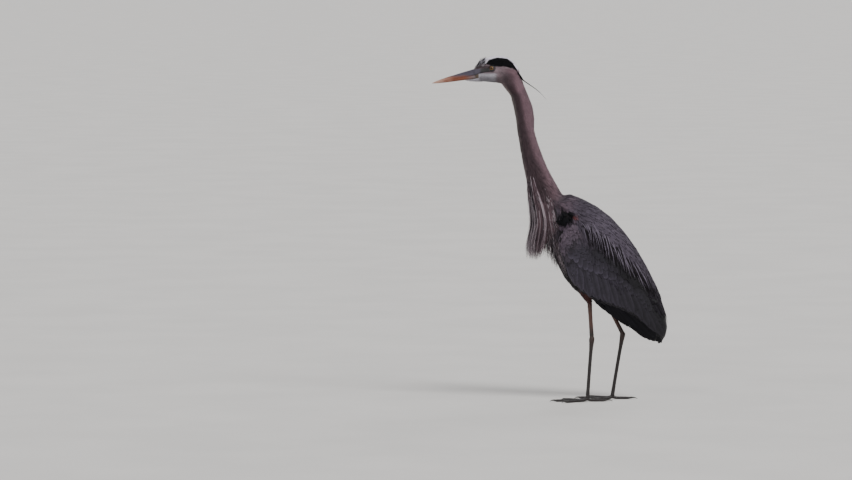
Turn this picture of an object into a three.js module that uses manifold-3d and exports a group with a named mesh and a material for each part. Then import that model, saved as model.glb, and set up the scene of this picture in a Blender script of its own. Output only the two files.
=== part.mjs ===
// Great blue heron at life size, wading upright with its neck raised: a still model in named solids.
// Millimetres, +Z up. The bill points along -X, the bird's left side is -Y and it stands on z = 0.
// Plumage is modelled as the closed layers that lie over each other on a folded bird: a cape of
// scapular plumes, the wings, the primaries, and the trunk inside them all.

import * as THREE from "three";
import { mergeVertices } from "three/addons/utils/BufferGeometryUtils.js";
import Module from "manifold-3d";

const wasm = await Module();
wasm.setup();

// ---- Driving dimensions ---------------------------------------------------------------------

const GAP = 0.35; // clearance between neighbouring solids
const BILL = 142; // exposed culmen, tip to forehead feathers
const BILL_ROOT = 26; // how far the bill runs on into the head
const BILL_DIP = 10.3; // degrees by which it points below the level
const EYE_RADIUS = 8;
const TARSUS_RADIUS = 4.6;
const SHANK_RADIUS = 5;
const SOLE = 3.4; // height of a toe's axis over the floor, less than its radius
const TOE_LENGTHS = { hind: 52, inner: 72, middle: 98, outer: 82 };
const CLAW_LENGTHS = { hind: 23, inner: 15, middle: 16, outer: 13 };
const CAPE = 4; // thickness of the scapular cape
const WING = 5.5; // thickness of a folded wing's coverts and secondaries
const PRIMARIES = 3.2; // thickness of the stacked primaries under them
const TRUNK_DEPTH = CAPE + WING + PRIMARIES + 3 * GAP; // how deep the trunk lies under the cape
const PLUME_LOCKS = 11; // tapering locks at the hanging end of the breast plumes

// Each leg by its points: the top of the thigh, where its feathers end, the ankle and the foot.
const LEGS = {
  left: {
    side: -1,
    thigh: [96, -30, 376],
    featherEnd: [120, -28, 300],
    ankle: [127, -30, 193],
    foot: [114, -38, 11],
    heading: -5,
  },
  right: {
    side: 1,
    thigh: [138, 29, 372],
    featherEnd: [177, 27, 293],
    ankle: [224, 30, 202],
    foot: [193, 38, 11],
    heading: 5,
  },
};

// ---- Shape helpers --------------------------------------------------------------------------

const rad = THREE.MathUtils.degToRad;
const clamp = THREE.MathUtils.clamp;

// A smooth curve through [place, value] stations, level past both ends.
function curve(...stations) {
  const slopes = stations.map((_, i) => {
    const before = stations[Math.max(i - 1, 0)];
    const after = stations[Math.min(i + 1, stations.length - 1)];
    return (after[1] - before[1]) / (after[0] - before[0]);
  });
  return (place) => {
    const last = stations.length - 1;
    const t = clamp(place, stations[0][0], stations[last][0]);
    const i = clamp(stations.findIndex((s) => s[0] >= t) - 1, 0, last - 1);
    const [x0, y0] = stations[i];
    const [x1, y1] = stations[i + 1];
    const span = x1 - x0;
    const u = (t - x0) / span;
    const rise = (y1 - y0) * u * u * (3 - 2 * u);
    return y0 + rise + span * u * (1 - u) * (slopes[i] * (1 - u) - slopes[i + 1] * u);
  };
}

// An axis in the bird's plane of symmetry: it starts at x, z and dips by pitch degrees towards +X.
function axis(x, z, pitch) {
  const p = rad(pitch);
  return {
    origin: new THREE.Vector3(x, 0, z),
    along: new THREE.Vector3(Math.cos(p), 0, -Math.sin(p)),
    up: new THREE.Vector3(Math.sin(p), 0, Math.cos(p)),
  };
}

function onAxis({ origin, along, up }, t, v, y) {
  return origin.clone().addScaledVector(along, t).addScaledVector(up, v).add(new THREE.Vector3(0, y, 0));
}

// A sphere's grid with every vertex moved to place(share of the way from pole to pole, angle round).
function shaped(rim, steps, place) {
  const geometry = new THREE.SphereGeometry(1, rim, steps);
  const { position, uv } = geometry.attributes;
  for (let i = 0; i < position.count; i++) {
    const p = place(1 - uv.getY(i), 2 * Math.PI * uv.getX(i));
    position.setXYZ(i, p.x, p.y, p.z);
  }
  return solid(geometry);
}

// A closed geometry as a manifold solid that faces out.
function solid(geometry) {
  const bare = geometry.clone();
  bare.deleteAttribute("normal");
  bare.deleteAttribute("uv");
  const merged = mergeVertices(bare, 1e-3);
  const triVerts = new Uint32Array(merged.index.array);
  const vertProperties = merged.attributes.position.array;
  const made = new wasm.Manifold(new wasm.Mesh({ numProp: 3, vertProperties, triVerts }));
  if (made.volume() > 0) return made;
  for (let i = 0; i < triVerts.length; i += 3) {
    [triVerts[i + 1], triVerts[i + 2]] = [triVerts[i + 2], triVerts[i + 1]];
  }
  return new wasm.Manifold(new wasm.Mesh({ numProp: 3, vertProperties, triVerts }));
}

const power = (x, e) => Math.sign(x) * Math.abs(x) ** e;
const spaced = (k) => (1 - Math.cos(Math.PI * k)) / 2; // closer together towards both ends
const round = (d, reach) => (d >= reach ? 1 : Math.sqrt(Math.max(0, 1 - (1 - d / reach) ** 2)));

// Rings across an axis. top, bottom and half give a ring's reach up, down and to each side at a
// place on the axis; blunt is the length over which each end rounds off; box squares the ring.
function loft(form) {
  const { on, from, to, top, bottom, half, blunt, box = 2, rim = 28, steps = 22 } = form;
  const waist = form.waist ?? ((t) => (top(t) + bottom(t)) / 2);
  return shaped(rim, steps, (k, angle) => {
    const t = from + (to - from) * spaced(k);
    const size = Math.min(round(t - from, blunt[0]), round(to - t, blunt[1]));
    const s = power(Math.sin(angle), 2 / box);
    const reach = s > 0 ? top(t) - waist(t) : waist(t) - bottom(t);
    const y = size * half(t) * power(Math.cos(angle), 2 / box);
    return onAxis(on, t, waist(t) + size * reach * s, k === 0 || k === 1 ? 0 : y);
  });
}

// A limb of round section along a smooth line. radius is a curve over the share of its length,
// flat squeezes it sideways and round ends are as long as the radius there.
function limb(points, radius, { rim = 10, steps = 12, flat = 1 } = {}) {
  const line = new THREE.CatmullRomCurve3(points.map((p) => new THREE.Vector3(...p)));
  const length = line.getLength();
  return shaped(rim, steps, (k, angle) => {
    const u = spaced(k);
    const tangent = line.getTangentAt(u);
    const across = new THREE.Vector3(0, 1, 0).addScaledVector(tangent, -tangent.y).normalize();
    const away = new THREE.Vector3().crossVectors(tangent, across);
    const size = Math.min(round(u * length, radius(0)), round((1 - u) * length, radius(1)));
    const r = size * radius(u);
    const point = line.getPointAt(u).addScaledVector(across, flat * r * Math.cos(angle));
    return point.addScaledVector(away, r * Math.sin(angle));
  });
}

// A slab with the given outline on an axis's plane, from one y to another.
function slab(on, outline, from, to) {
  const geometry = new THREE.ExtrudeGeometry(outline, {
    depth: to - from,
    bevelEnabled: false,
    curveSegments: 2,
  });
  const aside = new THREE.Vector3(0, -1, 0);
  const place = new THREE.Matrix4().makeBasis(on.along, on.up, aside);
  place.setPosition(onAxis(on, 0, 0, -from));
  return solid(geometry.applyMatrix4(place));
}

// Everything on the far side of a plane through x, z: the side its normal, tilted up by slope, faces.
function beyond(x, z, slope) {
  const size = 3000;
  const box = new THREE.BoxGeometry(size, size, size);
  box.translate(size / 2, 0, 0);
  box.rotateY(-rad(slope));
  box.translate(x, 0, z);
  return solid(box);
}

// The point a share of the way from one to another.
const between = (from, to, share) => from.map((c, i) => c + (to[i] - c) * share);

const largest = (s) => s.decompose().sort((a, b) => b.volume() - a.volume())[0];

// Feather tips along an outline: count rounded or pointed teeth from the last point to [x, y],
// each standing off the line by reach and leaning on by lean.
function feathered(outline, [x, y], count, reach, lean) {
  const start = outline.currentPoint.clone();
  const step = new THREE.Vector2(x, y).sub(start).divideScalar(count);
  const off = new THREE.Vector2(step.y, -step.x).normalize();
  for (let i = 0; i < count; i++) {
    const end = start.clone().addScaledVector(step, i + 1);
    const tip = start.clone().addScaledVector(step, i + 0.7).addScaledVector(off, reach);
    tip.addScaledVector(step.clone().normalize(), lean);
    const shoulder = start.clone().addScaledVector(step, i + 0.15).addScaledVector(off, reach * 0.8);
    outline.quadraticCurveTo(shoulder.x, shoulder.y, tip.x, tip.y);
    outline.lineTo(end.x, end.y);
  }
}

function outlineOf(points, ...edges) {
  const shape = new THREE.Shape();
  shape.moveTo(...points[0]);
  points.slice(1).forEach((p) => shape.lineTo(...p));
  edges.forEach(({ to, count, reach, lean }) => feathered(shape, to, count, reach, lean));
  shape.closePath();
  return shape;
}

// ---- Trunk, wings and cape ------------------------------------------------------------------

// The body axis runs from the base of the neck down to the wing tips.
const BODY = axis(20, 596, 52);
const BODY_END = 534;

const back = curve(
  [-30, 28], [0, 57], [57, 88], [100, 103.5], [150, 113], [240, 113.5],
  [330, 101], [413, 82], [454, 69], [492, 50], [522, 26], [BODY_END, 10],
);
const under = curve(
  [-30, -58], [40, -94], [94, -105], [132, -120], [178, -130], [230, -131], [301, -124],
  [372, -108], [430, -90], [488, -68], [BODY_END, -40],
);
const girth = curve(
  [-30, 42], [0, 57], [57, 73], [120, 81], [200, 83], [280, 78], [360, 67],
  [430, 55], [490, 42], [520, 31], [BODY_END, 20],
);
const layering = curve([0, 1], [370, 1], [470, 0.72], [BODY_END, 0.5]);

// The plumage's outer form, or a layer at some depth inside it.
function coat(depth) {
  return loft({
    on: BODY,
    from: -30,
    to: BODY_END - 0.6 * depth,
    top: (t) => back(t) - depth * layering(t),
    bottom: (t) => under(t) + depth * layering(t),
    half: (t) => girth(t) - depth * layering(t),
    blunt: [26, 26],
    box: 2.4,
    rim: 18,
    steps: 14,
  });
}

// The trunk fills the coat, and this form draws in its belly and rounds off its rear end.
const belly = curve([100, -150], [200, -126], [240, -116], [270, -108], [301, -93], [330, -64], [400, -30]);
function trunkForm(grow) {
  const rear = loft({
    on: BODY,
    from: -90,
    to: 402 + grow,
    top: () => 130,
    bottom: (t) => belly(t) - grow,
    half: () => 95,
    waist: () => 10,
    blunt: [10, 130],
    rim: 14,
    steps: 9,
  });
  return coat(TRUNK_DEPTH - grow).intersect(rear);
}

const trunkCut = trunkForm(GAP);

// The left half of one plumage layer inside an outline on the body axis.
function layer(from, thickness, outline) {
  const shell = coat(from).subtract(coat(from + thickness));
  return shell.intersect(slab(BODY, outline, GAP / 2, 200));
}

const capeOutline = outlineOf(
  [[-60, 130], [-60, -6], [20, 14], [62, 18], [120, 4], [150, 2]],
  { to: [250, 18], count: 5, reach: 10, lean: 16 },
  { to: [345, 56], count: 5, reach: 10, lean: 18 },
  { to: [420, 84], count: 3, reach: 7, lean: 18 },
  { to: [424, 130], count: 1, reach: 0, lean: 0 },
);
const wingOutline = outlineOf(
  [[40, 140], [50, 20], [64, -30], [82, -60], [110, -76], [150, -90], [205, -103]],
  { to: [282, -88], count: 3, reach: 5, lean: 4 },
  { to: [335, -52], count: 3, reach: 5, lean: 5 },
  { to: [402, -14], count: 3, reach: 5, lean: 6 },
  { to: [470, -3], count: 2, reach: 5, lean: 8 },
  { to: [526, 16], count: 1, reach: 4, lean: 6 },
  { to: [560, 140], count: 1, reach: 0, lean: 0 },
);
const primariesOutline = outlineOf(
  [[250, 60], [262, -70], [300, -82], [345, -76]],
  { to: [400, -63], count: 2, reach: 2, lean: 8 },
  { to: [440, -42], count: 2, reach: 3, lean: 10 },
  { to: [492, -32], count: 2, reach: 3, lean: 10 },
  { to: [528, -4], count: 2, reach: 2, lean: 6 },
  { to: [540, 60], count: 1, reach: 0, lean: 0 },
);
const wingSlab = slab(BODY, wingOutline, -200, 200);
const shoulderOutline = new THREE.Shape().absellipse(41, -4, 24, 30, 0, 2 * Math.PI, false, -0.35);

// ---- Head, neck and bill --------------------------------------------------------------------

const LEVEL = axis(0, 0, 0);
const PLUMB = { origin: LEVEL.origin, along: LEVEL.up, up: LEVEL.along };
const BILL_AXIS = axis(-361, 971, -BILL_DIP); // from the tip, back along the line where the bill closes

const throat = curve(
  [540, -26], [600, -50], [650, -66], [690, -77], [716, -82], [760, -90], [803, -97], [838, -103],
  [867, -106], [908, -115], [934, -122], [958, -140], [978, -158], [1000, -160], [1035, -146],
);
const nape = curve(
  [540, 66], [600, 56], [636, 34], [672, 13.4], [716, -10], [759, -27.5], [791, -39], [824, -49],
  [850, -50.6], [879, -48], [899, -54], [934, -68], [970, -83], [1000, -95], [1035, -108],
);
const neckHalf = curve(
  [540, 46], [600, 44], [640, 39], [716, 30], [790, 25.5], [850, 24], [920, 23.5], [985, 24], [1035, 15],
);
const neckForm = (grow) =>
  loft({
    on: PLUMB,
    from: 545 - grow,
    to: 1034 + grow,
    top: (z) => nape(z) + grow,
    bottom: (z) => throat(z) - grow,
    half: (z) => neckHalf(z) + grow,
    blunt: [26, 40],
    rim: 14,
    steps: 20,
  });

const crown = curve(
  [-236, 1017], [-224, 1025], [-211, 1041], [-190, 1050], [-156, 1054.5], [-130, 1049],
  [-112, 1036], [-97, 1016],
);
const chin = curve(
  [-236, 989], [-224, 982], [-205, 977], [-180, 974], [-155, 972], [-130, 966], [-112, 978], [-97, 996],
);
const cheek = curve(
  [-236, 12], [-224, 16.5], [-205, 20], [-182, 22], [-155, 25.5], [-130, 25.5], [-112, 21], [-97, 14],
);
const headForm = (grow) =>
  loft({
    on: LEVEL,
    from: -238 - grow,
    to: -95 + grow,
    top: (x) => crown(x) + grow,
    bottom: (x) => chin(x) - grow,
    half: (x) => cheek(x) + grow,
    waist: (x) => chin(x) + 0.42 * (crown(x) - chin(x)),
    blunt: [4, 12],
    rim: 16,
    steps: 12,
  });
const chinForm = (grow) => limb(
  [[-270, 0, 982], [-238, 0, 983], [-196, 0, 988]],
  curve([0, 1.4 + grow], [0.4, 7 + grow], [1, 14 + grow]),
  { rim: 8, steps: 5 },
);

const culmen = curve(
  [0, 0.7], [16, 4.6], [48, 10], [69, 12.4], [92, 15.2], [115, 17.8], [142, 20.5], [175, 19],
);
const gonys = curve([0, -0.7], [16, -3.2], [50, -6], [71, -7], [94, -8.2], [120, -9.8], [175, -12]);
const billHalf = curve([0, 0.9], [30, 3.2], [70, 5.6], [110, 8.4], [142, 11], [175, 12]);
const billForm = (grow) =>
  loft({
    on: BILL_AXIS,
    from: -grow,
    to: BILL + BILL_ROOT + grow,
    top: (t) => culmen(t) + grow,
    bottom: (t) => gonys(t) - grow,
    half: (t) => billHalf(t) + grow,
    waist: () => 0,
    blunt: [2, 1],
    box: 1.8,
    rim: 14,
    steps: 10,
  });

// Half of space above or below the line where the bill closes.
function jaw(side) {
  const size = 800;
  const box = new THREE.BoxGeometry(size, size, size);
  const middle = onAxis(BILL_AXIS, 0, side * (size / 2 + GAP / 2), 0);
  box.rotateY(rad(-BILL_DIP));
  box.translate(middle.x, 0, middle.z);
  return solid(box);
}

// The nostril is a slit through both sides of the upper bill, near its base.
const nostril = limb(
  [BILL - 26, BILL - 20, BILL - 13].map((t) => onAxis(BILL_AXIS, t, 9.5, 0).toArray()),
  curve([0, 1], [1, 1.4]),
  { flat: 12, rim: 6, steps: 4 },
);

const eyeCentre = (side) => new THREE.Vector3(-178.5, side * 16.2, 1017);
function eyeball(side, grow) {
  const c = eyeCentre(side);
  return solid(new THREE.SphereGeometry(EYE_RADIUS + grow, 12, 8).translate(c.x, c.y, c.z));
}

const bill = billForm(0);
const billCut = billForm(GAP);
const headAndNeck = headForm(0).add(chinForm(0)).add(neckForm(0));
const headAndNeckCut = headForm(GAP).add(chinForm(GAP)).add(neckForm(GAP));

// Planes across the neck part it from the head and divide it into three lengths. Each is a point
// in x and z and the tilt of the plane, and the lower piece starts a gap below it.
const NECK_CUTS = { upper: [-112, 951, -68], middle: [-77, 850, -88], lower: [-46, 718, -74] };
const pastCut = ([x, z, slope], shift) => beyond(x, z - shift, slope);

function headSolid() {
  const sockets = eyeball(-1, GAP).add(eyeball(1, GAP));
  const above = headAndNeck.subtract(pastCut(NECK_CUTS.upper, 0));
  return largest(above.subtract(billCut).subtract(sockets));
}

function neckLength(top, bottom) {
  const below = headAndNeck.intersect(pastCut(top, GAP));
  return largest(bottom ? below.subtract(pastCut(bottom, 0)) : below.subtract(trunkCut));
}

// Two long plumes trail from the back of the crown.
const crestPlume = limb(
  [[-116, -5, 1026], [-100, -7, 1004], [-86, -8, 985], [-62, -9, 968], [-36, -10, 949], [-11, -12, 922]],
  curve([0, 2.6], [0.3, 2.2], [0.8, 1.1], [1, 0.5]),
  { rim: 5, steps: 9, flat: 0.7 },
);

// ---- Breast plumes --------------------------------------------------------------------------

const plumeFront = curve(
  [462, -74], [490, -70], [539, -61], [578, -63.5], [634, -70], [663, -75], [690, -80], [712, -83],
);
const plumeRear = curve([470, -6], [500, 8], [540, 14], [590, 6], [640, -18], [690, -52], [712, -62]);
const plumeHalf = curve([470, 27], [500, 33], [560, 44], [600, 45], [640, 41.5], [690, 35], [712, 30]);
const plumeTips = curve([0, 441], [0.25, 432], [0.5, 434], [0.75, 446], [1, 462]);

function breastPlumes() {
  let plumes = loft({
    on: PLUMB,
    from: 462,
    to: 714,
    top: plumeRear,
    bottom: plumeFront,
    half: plumeHalf,
    blunt: [24, 30],
    rim: 14,
    steps: 9,
  });
  const thickness = curve([0, 8], [0.5, 8], [1, 0.9]);
  for (let i = 0; i < PLUME_LOCKS; i++) {
    const share = i / (PLUME_LOCKS - 1);
    const x = -63 + 55 * share;
    const y = (i % 3 - 1) * 19 * Math.sin(Math.PI * (0.2 + 0.6 * share));
    const tip = [x - 7 + 10 * share, y * 1.15, plumeTips(share)];
    plumes = plumes.add(limb([[x + 2, y * 0.9, 530], [x, y, 490], tip], thickness, { rim: 5, steps: 3 }));
  }
  return plumes;
}

// ---- Tail, legs and feet --------------------------------------------------------------------

const tail = loft({
  on: BODY,
  from: 352,
  to: 508,
  top: curve([352, -6], [430, -4], [508, -6]),
  bottom: curve([352, -42], [430, -26], [508, -13]),
  half: curve([352, 14], [400, 22], [470, 27], [508, 25]),
  blunt: [30, 10],
  box: 3,
  rim: 14,
  steps: 8,
});

const thighShape = curve([0, 27], [0.45, 20], [0.85, 10], [1, 7.2]);
function thigh({ thigh: top, featherEnd }, grow = 0) {
  const calf = between(top, featherEnd, 0.45);
  const shape = (u) => thighShape(u) + grow;
  return limb([top, [calf[0] - 3, calf[1], calf[2]], featherEnd], shape, { rim: 9, steps: 7, flat: 0.85 });
}

const shankShape = curve([0, SHANK_RADIUS + 0.6], [0.5, SHANK_RADIUS], [1, SHANK_RADIUS + 1.6]);
function shank({ featherEnd, ankle }) {
  const line = [-0.12, 0.5, 0.93].map((share) => between(featherEnd, ankle, share));
  return limb(line, shankShape, { rim: 8, steps: 6, flat: 0.92 });
}

const tarsusShape = curve(
  [0, 8.2], [0.05, 9], [0.12, 6.8], [0.3, TARSUS_RADIUS], [0.8, TARSUS_RADIUS], [1, 6],
);
function tarsus({ ankle, foot }, grow = 0) {
  const line = [-0.04, 0.5, 0.97].map((share) => between(ankle, foot, share));
  return limb(line, (u) => tarsusShape(u) + grow, { rim: 7, steps: 10, flat: 0.86 });
}

const TOE_TURNS = { hind: 176, inner: -31, middle: 0, outer: 29 };
const TOE_JOINTS = { hind: 1, inner: 2, middle: 3, outer: 4 };

// Where a toe's axis is, reach millimetres out from the foot.
function onToe({ foot, side, heading }, toe, reach, z) {
  const turn = rad(heading + side * TOE_TURNS[toe]);
  return [foot[0] - reach * Math.cos(turn), foot[1] + reach * Math.sin(turn), z];
}

function toeSolid(leg, toe, grow) {
  const length = TOE_LENGTHS[toe];
  const joints = TOE_JOINTS[toe];
  const stations = [[0, 5.6]];
  for (let i = 1; i <= joints; i++) {
    const place = i / (joints + 1);
    const size = 4.9 - 1.1 * place;
    stations.push([place - 0.11, size - 0.5], [place, size + 0.3]);
  }
  stations.push([0.92, 3.6], [1, 3.5]);
  const points = [[0, leg.foot[2] - 3], [0.14, SOLE + 2], [0.3, SOLE], [0.65, SOLE], [1, SOLE - 0.2]];
  const line = points.map(([share, z]) => onToe(leg, toe, share * length, z));
  const shape = curve(...stations);
  return limb(line, (u) => shape(u) + grow, { rim: 6, steps: 4 + 2 * joints });
}

function claw(leg, toe) {
  const start = TOE_LENGTHS[toe] + 2.4;
  const length = CLAW_LENGTHS[toe];
  const points = [[0, 4.2], [0.35, 5.2], [0.7, 4.4], [1, 1.4]];
  const line = points.map(([share, z]) => onToe(leg, toe, start + share * length, z));
  return limb(line, curve([0, 2.6], [0.5, 1.9], [1, 0.6]), { rim: 6, steps: 5, flat: 0.8 });
}

function foot(leg, grow = 0) {
  const floor = solid(new THREE.BoxGeometry(900, 900, 60).translate(leg.foot[0], leg.foot[1], 30));
  const toes = Object.keys(TOE_LENGTHS).map((toe) => toeSolid(leg, toe, grow));
  const line = [between(leg.foot, leg.ankle, -0.02), leg.foot, between(leg.foot, leg.ankle, 0.05)];
  const ball = limb(line, () => 6.5 + grow, { rim: 6, steps: 4 });
  return toes.reduce((joined, toe) => joined.add(toe), ball).intersect(floor);
}

// ---- Colours --------------------------------------------------------------------------------

const finish = (color, roughness) => new THREE.MeshStandardMaterial({ color, roughness, metalness: 0 });
const WHITE_FEATHER = finish(0xd9d7d8, 0.85);
const NECK_FEATHER = finish(0x77686c, 0.9);
const PALE_PLUME = finish(0x958a8a, 0.85);
const SLATE_FEATHER = finish(0x565a66, 0.8);
const WING_FEATHER = finish(0x4c4c56, 0.8);
const BLACK_FEATHER = finish(0x11121b, 0.65);
const TRUNK_FEATHER = finish(0x23222a, 0.9);
const THIGH_FEATHER = finish(0x6b3a2b, 0.9);
const BILL_TOP = finish(0x6d5548, 0.4);
const BILL_LOW = finish(0xc4773a, 0.4);
const LEG_SKIN = finish(0x6e4c38, 0.55);
const FOOT_SKIN = finish(0x463c34, 0.6);
const HORN = finish(0x201d1b, 0.35);
const EYE = finish(0xe0b02c, 0.1);

// ---- The bird -------------------------------------------------------------------------------

function meshOf(name, made, material) {
  const { vertProperties, triVerts } = made.getMesh();
  const geometry = new THREE.BufferGeometry();
  geometry.setAttribute("position", new THREE.BufferAttribute(vertProperties, 3));
  geometry.setIndex(new THREE.BufferAttribute(triVerts, 1));
  geometry.computeVertexNormals();
  const mesh = new THREE.Mesh(geometry, material);
  mesh.name = name;
  return mesh;
}

const heron = new THREE.Group();
const add = (name, made, material) => heron.add(meshOf(name, made, material));

// A left piece and its mirror image on the right.
function addPair(name, made, material) {
  const left = meshOf(name + "_left", made, material);
  const right = left.clone();
  right.name = name + "_right";
  right.scale.y = -1;
  heron.add(left, right);
}

const plumes = breastPlumes();
const neckAndPlumes = headAndNeckCut.add(plumes);
const thighs = thigh(LEGS.left, GAP).add(thigh(LEGS.right, GAP));
const wingDepth = CAPE + GAP;
const primariesDepth = wingDepth + WING + GAP;
const shoulder = layer(wingDepth, WING + GAP + PRIMARIES, shoulderOutline);

add("head", headSolid(), WHITE_FEATHER);
add("bill_upper", largest(bill.intersect(jaw(1)).subtract(nostril)), BILL_TOP);
add("bill_lower", largest(bill.intersect(jaw(-1))), BILL_LOW);
addPair("eye", eyeball(-1, 0).subtract(billCut), EYE);
addPair("crest_plume", largest(crestPlume.subtract(headAndNeckCut)), BLACK_FEATHER);
add("neck_upper", neckLength(NECK_CUTS.upper, NECK_CUTS.middle), NECK_FEATHER);
add("neck_middle", neckLength(NECK_CUTS.middle, NECK_CUTS.lower), NECK_FEATHER);
add("neck_lower", neckLength(NECK_CUTS.lower, null), NECK_FEATHER);
add("breast_plumes", largest(plumes.subtract(headAndNeckCut).subtract(trunkCut)), PALE_PLUME);
add("trunk", largest(trunkForm(0).subtract(thighs)), TRUNK_FEATHER);
addPair("cape", largest(layer(0, CAPE, capeOutline).subtract(neckAndPlumes)), SLATE_FEATHER);
addPair("shoulder_patch", largest(shoulder.subtract(wingSlab).subtract(neckAndPlumes)), BLACK_FEATHER);
addPair("wing", largest(layer(wingDepth, WING, wingOutline)), WING_FEATHER);
addPair("primaries", largest(layer(primariesDepth, PRIMARIES, primariesOutline)), BLACK_FEATHER);
add("tail", largest(tail.subtract(trunkCut)), SLATE_FEATHER);

for (const [side, leg] of Object.entries(LEGS)) {
  const bareShank = shank(leg).subtract(thigh(leg, GAP)).subtract(tarsus(leg, GAP));
  const footCut = foot(leg, GAP);
  add("thigh_" + side, thigh(leg), THIGH_FEATHER);
  add("shank_" + side, largest(bareShank), LEG_SKIN);
  add("tarsus_" + side, largest(tarsus(leg).subtract(footCut)), LEG_SKIN);
  add("foot_" + side, foot(leg), FOOT_SKIN);
  for (const toe of Object.keys(TOE_LENGTHS)) {
    add("claw_" + side + "_" + toe, largest(claw(leg, toe).subtract(footCut)), HORN);
  }
}

// The origin goes to the middle of the footprint, on the floor.
const extent = new THREE.Box3().setFromObject(heron, true);
const middle = extent.getCenter(new THREE.Vector3());
heron.position.set(-middle.x, -middle.y, -extent.min.z);

export default heron;
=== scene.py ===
"""A standing great blue heron: skin, plumage, bill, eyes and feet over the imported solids."""

import math
from collections import namedtuple
from types import SimpleNamespace

import bmesh
import bpy
import numpy as np
from mathutils import Matrix, Vector
from mathutils.bvhtree import BVHTree


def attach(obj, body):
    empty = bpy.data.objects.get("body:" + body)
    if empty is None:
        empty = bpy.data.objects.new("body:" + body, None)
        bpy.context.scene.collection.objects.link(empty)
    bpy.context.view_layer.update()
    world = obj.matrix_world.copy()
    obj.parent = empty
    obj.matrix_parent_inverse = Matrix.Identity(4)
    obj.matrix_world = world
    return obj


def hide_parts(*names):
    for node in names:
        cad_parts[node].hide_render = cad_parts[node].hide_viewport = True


bl_info = {
    "name": "Great blue heron",
    "version": (1, 0, 0),
    "blender": (4, 5, 0),
    "location": "View3D > Sidebar > Heron",
    "description": "Builds the skin, plumage, bill, eyes, feet and stage of a standing heron",
    "category": "Object",
}

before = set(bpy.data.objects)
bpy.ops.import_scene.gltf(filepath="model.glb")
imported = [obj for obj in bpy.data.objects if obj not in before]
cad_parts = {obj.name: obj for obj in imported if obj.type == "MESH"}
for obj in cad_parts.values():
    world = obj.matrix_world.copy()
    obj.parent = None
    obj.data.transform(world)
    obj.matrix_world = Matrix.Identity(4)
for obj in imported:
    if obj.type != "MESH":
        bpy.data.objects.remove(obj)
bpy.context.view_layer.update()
MM = 0.001
SIDES = {"left": -1, "right": 1}


def both(*names):
    return [f"{name}_{side}" for name in names for side in SIDES]


def kind_of(name):
    return name.rsplit("_", 1)[0] if name.endswith(("_left", "_right")) else name


# The soft solids that one skin stands for, the kind of each, and those that carry no feathers.
SOFT = ["head", "neck_upper", "neck_middle", "neck_lower", "trunk", "tail"]
SOFT += both("cape", "shoulder_patch", "wing", "primaries", "thigh", "shank", "tarsus", "foot")
KINDS = np.array([kind_of(name) for name in SOFT])
BARE = ("shank", "tarsus", "foot")

# How deep the skin lies under the plumage's outer form, by part, in millimetres.
DEPTHS = {
    "head": 1.7, "neck_upper": 2.2, "neck_middle": 2.8, "neck_lower": 4.6, "trunk": 4.4, "tail": 1.2,
    "cape": 5.4, "shoulder_patch": 4, "wing": 3.4, "primaries": 1.1, "thigh": 2.6,
    "shank": 0, "tarsus": 0, "foot": 0,
}
SKIN_TRIANGLES = 170000

# How far evening out may move the bare legs, the face and the rest towards their neighbours.
PULLS = {"bare": 0.05, "face": 0.3, "rest": 0.85}
THICKEST = 0.03  # metres, the depth to which the form's thickness is looked for
OVERHANG = 0.012  # metres, within which another surface hides a face
MAP_MARGIN = 0.02

# Places and sizes below are in millimetres, points in the side view as x and z.
EYE = (-178.5, 16.2, 1017.0)
EYE_RADIUS = 8.0
GAZE = Vector((-0.26, 0.96, 0.06)).normalized()
BILL_TIP = (-361.0, 971.0)
BILL_DIP = math.radians(10.3)
BILL_LENGTH = 168.0

# The line that the head, neck and body lie along, and the straight axis of the body.
SPINE = [
    (-262, 990), (-215, 1010), (-165, 1014), (-120, 1000), (-97, 950), (-80, 890), (-76, 845),
    (-66, 790), (-48, 730), (-22, 670), (20, 596), (118, 470), (217, 344), (300, 238), (349, 175),
]
BODY_START = np.array([20, 0, 596.0])
BODY_WAY, BODY_UP = np.array([0.6157, 0, -0.788]), np.array([0.788, 0, 0.6157])

# Which way the feathers lie, seen from the side: x and z, then the direction there.
LIE = [
    (-245, 1012, 1, 0.3), (-222, 1030, 0.8, 0.6), (-180, 1052, 1, 0.12), (-140, 1050, 0.95, -0.3),
    (-112, 1030, 0.65, -0.75), (-95, 1000, 0.42, -0.9), (-185, 1002, 1, -0.05),
    (-150, 1005, 0.97, -0.2), (-120, 990, 0.7, -0.7), (-245, 986, 1, 0), (-190, 978, 1, -0.05),
    (-140, 970, 0.7, -0.7), (-105, 950, 0.35, -0.94), (-85, 900, 0.14, -0.99),
    (-76, 850, 0.1, -1), (-70, 800, 0.2, -0.98), (-52, 740, 0.3, -0.95), (-40, 680, 0.3, -0.95),
    (-60, 620, 0.05, -1), (-30, 560, 0.15, -0.99), (-20, 500, 0.18, -0.98), (20, 640, 0.6, -0.8),
    (60, 610, 0.75, -0.66), (110, 590, 0.74, -0.67), (185, 520, 0.66, -0.75), (260, 420, 0.58, -0.81),
    (330, 300, 0.42, -0.91), (355, 215, 0.25, -0.97), (20, 560, 0.3, -0.95), (60, 545, 0.3, -0.95),
    (50, 480, 0.12, -0.99), (100, 500, 0.3, -0.95), (150, 520, 0.5, -0.87), (200, 450, 0.45, -0.89),
    (60, 420, 0.14, -0.99), (130, 440, 0.28, -0.96), (130, 370, 0.2, -0.98), (190, 350, 0.3, -0.95),
    (240, 370, 0.42, -0.91), (260, 310, 0.42, -0.91), (305, 270, 0.5, -0.87), (20, 450, 0.3, -0.95),
    (50, 370, 0.5, -0.87), (110, 310, 0.8, -0.6), (200, 280, 0.8, -0.6), (290, 240, 0.75, -0.66),
]

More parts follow.
